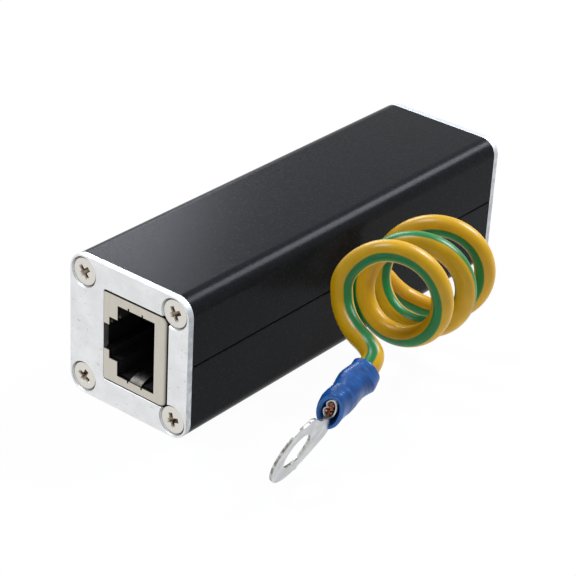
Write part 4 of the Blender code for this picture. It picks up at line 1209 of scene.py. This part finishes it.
class SURGE_OT_stage(bpy.types.Operator):
    """Make the floor, the soft lamps, the background and the camera"""

    bl_idname = "surge.stage"
    bl_label = "Stage and camera"

    def execute(self, context):
        settings = context.scene.surge_stage
        scene = context.scene
        scene.view_settings.view_transform = "Standard"
        self.make_floor(settings)
        self.make_world(settings, scene)
        for name, (spot, size) in LAMPS.items():
            light = bpy.data.lights.new(name + "_lamp", "AREA")
            light.shape = "SQUARE"
            light.size = size
            light.energy = getattr(settings, name + "_power")
            light.color = settings.lamp_colour[:3]
            lamp = bpy.data.objects.new(name + "_lamp", light)
            lamp.location = spot
            lamp.visible_camera = False
            lamp.rotation_euler = (Vector(spot) - LAMP_AIM).to_track_quat("Z", "Y").to_euler()
            context.collection.objects.link(lamp)
        lens = bpy.data.cameras.new("camera")
        lens.lens = FOCAL_LENGTH
        lens.sensor_width = 36.0
        camera = bpy.data.objects.new("camera", lens)
        turn = Matrix((CAMERA_RIGHT, CAMERA_UP, CAMERA_BACK)).transposed().to_4x4()
        camera.matrix_world = Matrix.Translation(CAMERA_SPOT) @ turn
        context.collection.objects.link(camera)
        scene.camera = camera
        return {"FINISHED"}

    def seen(self, tree):
        """1 on rays that come from the camera, a mirror or glass, and 0 on those that light."""
        paths = add_node(tree, "ShaderNodeLightPath")
        share = paths.outputs["Is Camera Ray"]
        for key in ("Is Glossy Ray", "Is Transmission Ray"):
            pair = {0: share, 1: paths.outputs[key]}
            share = add_node(tree, "ShaderNodeMath", pair, operation="MAXIMUM")
        return share

    def make_floor(self, settings):
        """A pale table that the camera and mirrors see as nearly white, with the shadow kept."""
        material = bpy.data.materials.new("pale_table")
        material.use_nodes = True
        tree = material.node_tree
        tree.nodes.clear()
        share = {0: self.seen(tree), 1: FLOOR_GLOW}
        share = add_node(tree, "ShaderNodeMath", share, operation="MULTIPLY")
        paint = add_node(tree, "ShaderNodeBsdfDiffuse", {"Color": tuple(settings.floor_colour)})
        glow = add_node(tree, "ShaderNodeEmission", {"Color": WHITE, "Strength": 1.0})
        mixed = add_node(tree, "ShaderNodeMixShader", {0: share, 1: paint, 2: glow})
        add_node(tree, "ShaderNodeOutputMaterial", {0: mixed})
        shape = bmesh.new()
        bmesh.ops.create_grid(shape, x_segments=1, y_segments=1, size=FLOOR_HALF / MM)
        floor = make_piece("floor", shape, [material])
        floor.data.transform(Matrix.Translation((0.0, 0.0, CAD_BOX[0][2] - FLOOR_DROP)))

    def make_world(self, settings, scene):
        """Soft light from all round, which the camera and mirrors see as white."""
        world = bpy.data.worlds.new("studio")
        scene.world = world
        world.use_nodes = True
        tree = world.node_tree
        tree.nodes.clear()
        sky = {"Color": tuple(settings.sky_colour), "Strength": SKY_STRENGTH}
        soft = add_node(tree, "ShaderNodeBackground", sky)
        white = add_node(tree, "ShaderNodeBackground", {"Color": WHITE, "Strength": 1.0})
        mixed = add_node(tree, "ShaderNodeMixShader", {0: self.seen(tree), 1: soft, 2: white})
        add_node(tree, "ShaderNodeOutputWorld", {0: mixed})


class SURGE_OT_earth_wire(bpy.types.Operator):
    """Make the coiled earth wire with its sleeve, ring terminal and copper strands"""

    bl_idname = "surge.earth_wire"
    bl_label = "Earth wire and ring terminal"

    def execute(self, context):
        settings = context.scene.surge_wire
        insulation = earth_insulation(tuple(settings.sheath_colour), tuple(settings.stripe_colour))
        route = wire_route()
        sheath = sheath_mesh(route, SHEATH_RADIUS, settings.sides)
        wire = make_piece("earth_wire", sheath, [insulation])
        finish_piece(wire, "wire", "earth_wire_lead", "earth_wire_coil", "earth_wire_tail")
        bpy.data.objects["earth_wire_inner"].material_slots[0].material = insulation
        place = terminal_place()
        vinyl = sleeve_vinyl(tuple(settings.sleeve_colour), tuple(settings.rim_colour))
        sleeve = make_piece("crimp_sleeve", sleeve_mesh(place), [vinyl], 50.0)
        finish_piece(sleeve, "sleeve", "terminal_sleeve")
        terminal = self.make_terminal(place, settings)
        strands = self.make_strands(place, settings)
        return {"FINISHED"}

    def make_terminal(self, place, settings):
        """Give the thin ring its thickness, then add the barrel."""
        tin = plated_metal("tinned_copper", "#BDC0C2", "#C8CACC", 0.36, 2.5)
        cut_edge = plated_metal("sheared_edge", "#7D7870", "#C0C0BD", 0.42, 0.8)
        ring = make_piece("ring_plate", tongue_mesh(place), [tin, cut_edge])
        wall = ring.modifiers.new("thickness", "SOLIDIFY")
        wall.thickness = settings.sheet
        wall.offset = 0.0
        wall.material_offset_rim = 1
        soft = ring.modifiers.new("edges", "BEVEL")
        soft.width = 0.07 * MM
        soft.segments = 2
        soft.limit_method = "ANGLE"
        soft.angle_limit = math.radians(50)
        soft.material = 1
        settle(ring)
        shape = bmesh.new()
        shape.from_mesh(ring.data)
        bmesh.ops.scale(shape, vec=(1 / MM, 1 / MM, 1 / MM), verts=shape.verts)
        drop(ring)
        barrel_mesh(place, shape)
        terminal = make_piece("ring_lug", shape, [tin, cut_edge])
        finish_piece(terminal, "terminal", "ring_terminal")
        return terminal

    def make_strands(self, place, settings):
        """Strands packed in rings inside the barrel."""
        shape = bmesh.new()
        pitch = settings.strand_radius / MM * 2
        for row, count in STRAND_ROWS:
            for index in range(count):
                y = BARREL_MIDDLE[0] + (index - (count - 1) / 2) * pitch * STRAND_SPREAD
                z = BARREL_MIDDLE[1] + row * pitch * STRAND_PACKING
                uneven = 0.22 * math.sin(7 * y + 5 * row)
                shape.verts.new(slanted(BARREL_MOUTH - STRAND_SETBACK + uneven, y, z))
        strands = make_piece("copper_strands", shape)
        copper = plated_metal("bare_copper", "#9C6248", "#DBA88E", 0.3, 0.4)
        values = {"Radius": settings.strand_radius, "Length": STRAND_LENGTH * MM}
        values.update({"Splay": STRAND_SPLAY, "Seed": settings.seed, "Material": copper})
        run_tree(strands, strand_tree(), values)
        move(strands, place)
        finish_piece(strands, "copper", "strand_end")
        return strands


class SURGE_OT_shells(bpy.types.Operator):
    """Make the two halves of the black extruded case"""

    bl_idname = "surge.shells"
    bl_label = "Case shells"

    def execute(self, context):
        settings = context.scene.surge_case
        material = black_anodised(tuple(settings.shell_colour))
        reach = OVERALL_LENGTH / 2 - PLATE_THICKNESS - PLATE_GAP
        for name, level in (("upper_shell", 1), ("lower_shell", -1)):
            outline = shell_outline(level, settings.seam_gap / MM)
            shell = make_piece(name + "_fine", prism(outline, -reach, reach), [material])
            hole = [(GROMMET_HOLE, -3.0), (GROMMET_HOLE, 1.0)]
            cut(shell, turned(hole, 64, place=grommet_place()))
            finish_piece(shell, "case", name)
        return {"FINISHED"}


class SURGE_OT_plates(bpy.types.Operator):
    """Make both end plates and their eight countersunk screws"""

    bl_idname = "surge.plates"
    bl_label = "End plates and screws"

    def execute(self, context):
        settings = context.scene.surge_case
        sheared = plated_metal("sheared_aluminium", "#B4B8BC", "#C9CDD1", 0.5, 1.2)
        materials = [plate_aluminium(tuple(settings.plate_colour)), sheared]
        edge, head_sink = settings.edge / MM, settings.head_sink / MM
        for name, end in (("front_plate", -1), ("rear_plate", 1)):
            plate = make_plate(name + "_fine", end, edge, head_sink, materials)
            finish_piece(plate, "plate", name)
        self.make_screws(head_sink)
        return {"FINISHED"}

    def make_screws(self, head_sink):
        """Eight screws, each stopped at its own angle."""
        model = make_screw_model()
        shape = bmesh.new()
        turns = []
        for end in (-1, 1):
            for x, z in screw_places():
                shape.verts.new((x, end * (OVERALL_LENGTH / 2 - head_sink), z))
                spin = math.radians(SCREW_TURNS[len(turns)])
                turns.append((along((0, end, 0)) @ Matrix.Rotation(spin, 4, "Z")).to_euler())
        screws = make_piece("end_screws", shape)
        angles = screws.data.attributes.new("turn", "FLOAT_VECTOR", "POINT")
        for item, turn in zip(angles.data, turns):
            item.vector = turn
        values = {"Model": model, "Size": 1.0, "Material": nickel_screw()}
        run_tree(screws, scatter_tree(), values)
        drop(model)
        finish_piece(screws, "screw", *["end_screw_" + str(number) for number in range(1, 9)])


class SURGE_OT_jacks(bpy.types.Operator):
    """Make the jack shields, spring contacts and contact combs, and finish the housings"""

    bl_idname = "surge.jacks"
    bl_label = "Network jacks"

    def execute(self, context):
        settings = context.scene.surge_case
        nickel = nickel_shield()
        plastic = moulded_plastic("black_polyester", "#1F1F21", "#29292B", 0.42, 0.5)
        gold = plated_metal("gold_plated_bronze", "#B9852F", "#E2B457", 0.24, 0.5)
        # Painted shade: the spring tabs' nickel is darker for the shade deep in the socket
        spring = plated_metal("rubbed_nickel_plate", "#6E6A65", "#8A8680", 0.34, 0.6)
        models = [contact_model("contact_model_" + str(row), CONTACT_PINS[row]) for row in (0, 1)]
        row = row_tree()
        comb = comb_tree()
        for prefix, end in (("front", -1), ("rear", 1)):
            name = prefix + "_shield_fine"
            shield = make_shield(name, end, settings.shield_bend / MM, [nickel, spring])
            finish_piece(shield, "shield", prefix + "_jack_shield")
            contacts = make_piece(prefix + "_contacts", bmesh.new())
            values = {"First": models[0], "Second": models[1], "Pairs": CONTACT_COUNT // 2}
            run_tree(contacts, row, {**values, "Pitch": CONTACT_PITCH * MM, "Material": gold})
            move(contacts, jack_place(end))
            nodes = [prefix + "_contact_" + str(number) for number in range(1, CONTACT_COUNT + 1)]
            finish_piece(contacts, "contact", *nodes)
            ribs = make_piece(prefix + "_contact_comb", bmesh.new())
            values = {"Count": CONTACT_COUNT + 1, "Pitch": CONTACT_PITCH * MM, "Material": plastic}
            values.update({"Rib size": COMB_RIB * MM, "Middle": COMB_MIDDLE * MM})
            run_tree(ribs, comb, values)
            move(ribs, jack_place(end))
            finish_piece(ribs, "housing")
            bpy.data.objects[prefix + "_jack_housing"].material_slots[0].material = plastic
        drop(*models)
        return {"FINISHED"}


class SURGE_OT_board(bpy.types.Operator):
    """Finish the circuit board, its discharge tubes and diodes, and the soldered conductor"""

    bl_idname = "surge.board"
    bl_label = "Board and protection parts"

    def execute(self, context):
        finishes = {
            "circuit_board": board_laminate(),
            "discharge_tube_": banded("glazed_alumina", "#D9D4C8", "#B9BDC1", *TUBE_CERAMIC, 0.3),
            "diode_": banded("epoxy_moulding", "#17181A", "#C3C6C8", *DIODE_BODY, 0.28),
            "earth_conductor": plated_metal("soldered_copper", "#9FA3A6", "#CDD0D2", 0.3, 0.8),
        }
        for piece in list(bpy.data.objects):
            for prefix, material in finishes.items():
                if piece.name.startswith(prefix):
                    piece.material_slots[0].material = material
        return {"FINISHED"}


class SURGE_OT_grommet(bpy.types.Operator):
    """Make the rubber grommet where the earth wire leaves the case"""

    bl_idname = "surge.grommet"
    bl_label = "Grommet"

    def execute(self, context):
        rubber = moulded_plastic("black_rubber", "#101011", "#1B1B1C", 0.65, 0.4)
        lip = arc((2.3, 0.3), 0.2, 150, 60, 4) + arc((2.75, 0.28), 0.17, 80, -20, 4)
        profile = GROMMET_INSIDE + lip + GROMMET_OUTSIDE
        shape = turned(profile, 64, closed=True, place=grommet_place())
        grommet = make_piece("grommet_fine", shape, [rubber])
        finish_piece(grommet, "grommet", "wire_grommet")
        return {"FINISHED"}


class SURGE_PT_panel(bpy.types.Panel):
    """Lists the pieces that can be made"""

    bl_idname = "SURGE_PT_panel"
    bl_label = "Surge protector"
    bl_space_type = "VIEW_3D"
    bl_region_type = "UI"
    bl_category = "Surge"

    def draw(self, context):
        for name in GROUPS:
            group = getattr(context.scene, name)
            for key in group.bl_rna.properties.keys():
                if key not in ("rna_type", "name"):
                    self.layout.prop(group, key)
        for operator in OPERATORS:
            self.layout.operator(operator.bl_idname)


OPERATORS = (
    SURGE_OT_stage,
    SURGE_OT_earth_wire,
    SURGE_OT_shells,
    SURGE_OT_plates,
    SURGE_OT_jacks,
    SURGE_OT_board,
    SURGE_OT_grommet,
)
GROUPS = {
    "surge_stage": SurgeStageSettings,
    "surge_wire": SurgeWireSettings,
    "surge_case": SurgeCaseSettings,
}


def register():
    """Register the settings, the operators and the panel."""
    for item in (*GROUPS.values(), *OPERATORS, SURGE_PT_panel):
        bpy.utils.register_class(item)
    for name, group in GROUPS.items():
        setattr(bpy.types.Scene, name, bpy.props.PointerProperty(type=group))


def unregister():
    """Take the settings, the operators and the panel away again."""
    for name in GROUPS:
        delattr(bpy.types.Scene, name)
    for item in (SURGE_PT_panel, *OPERATORS, *GROUPS.values()):
        bpy.utils.unregister_class(item)


def main():
    """Make the stage and every piece."""
    register()
    bpy.ops.surge.stage()
    bpy.ops.surge.earth_wire()
    bpy.ops.surge.shells()
    bpy.ops.surge.plates()
    bpy.ops.surge.jacks()
    bpy.ops.surge.board()
    bpy.ops.surge.grommet()


if __name__ == "__main__":
    main()
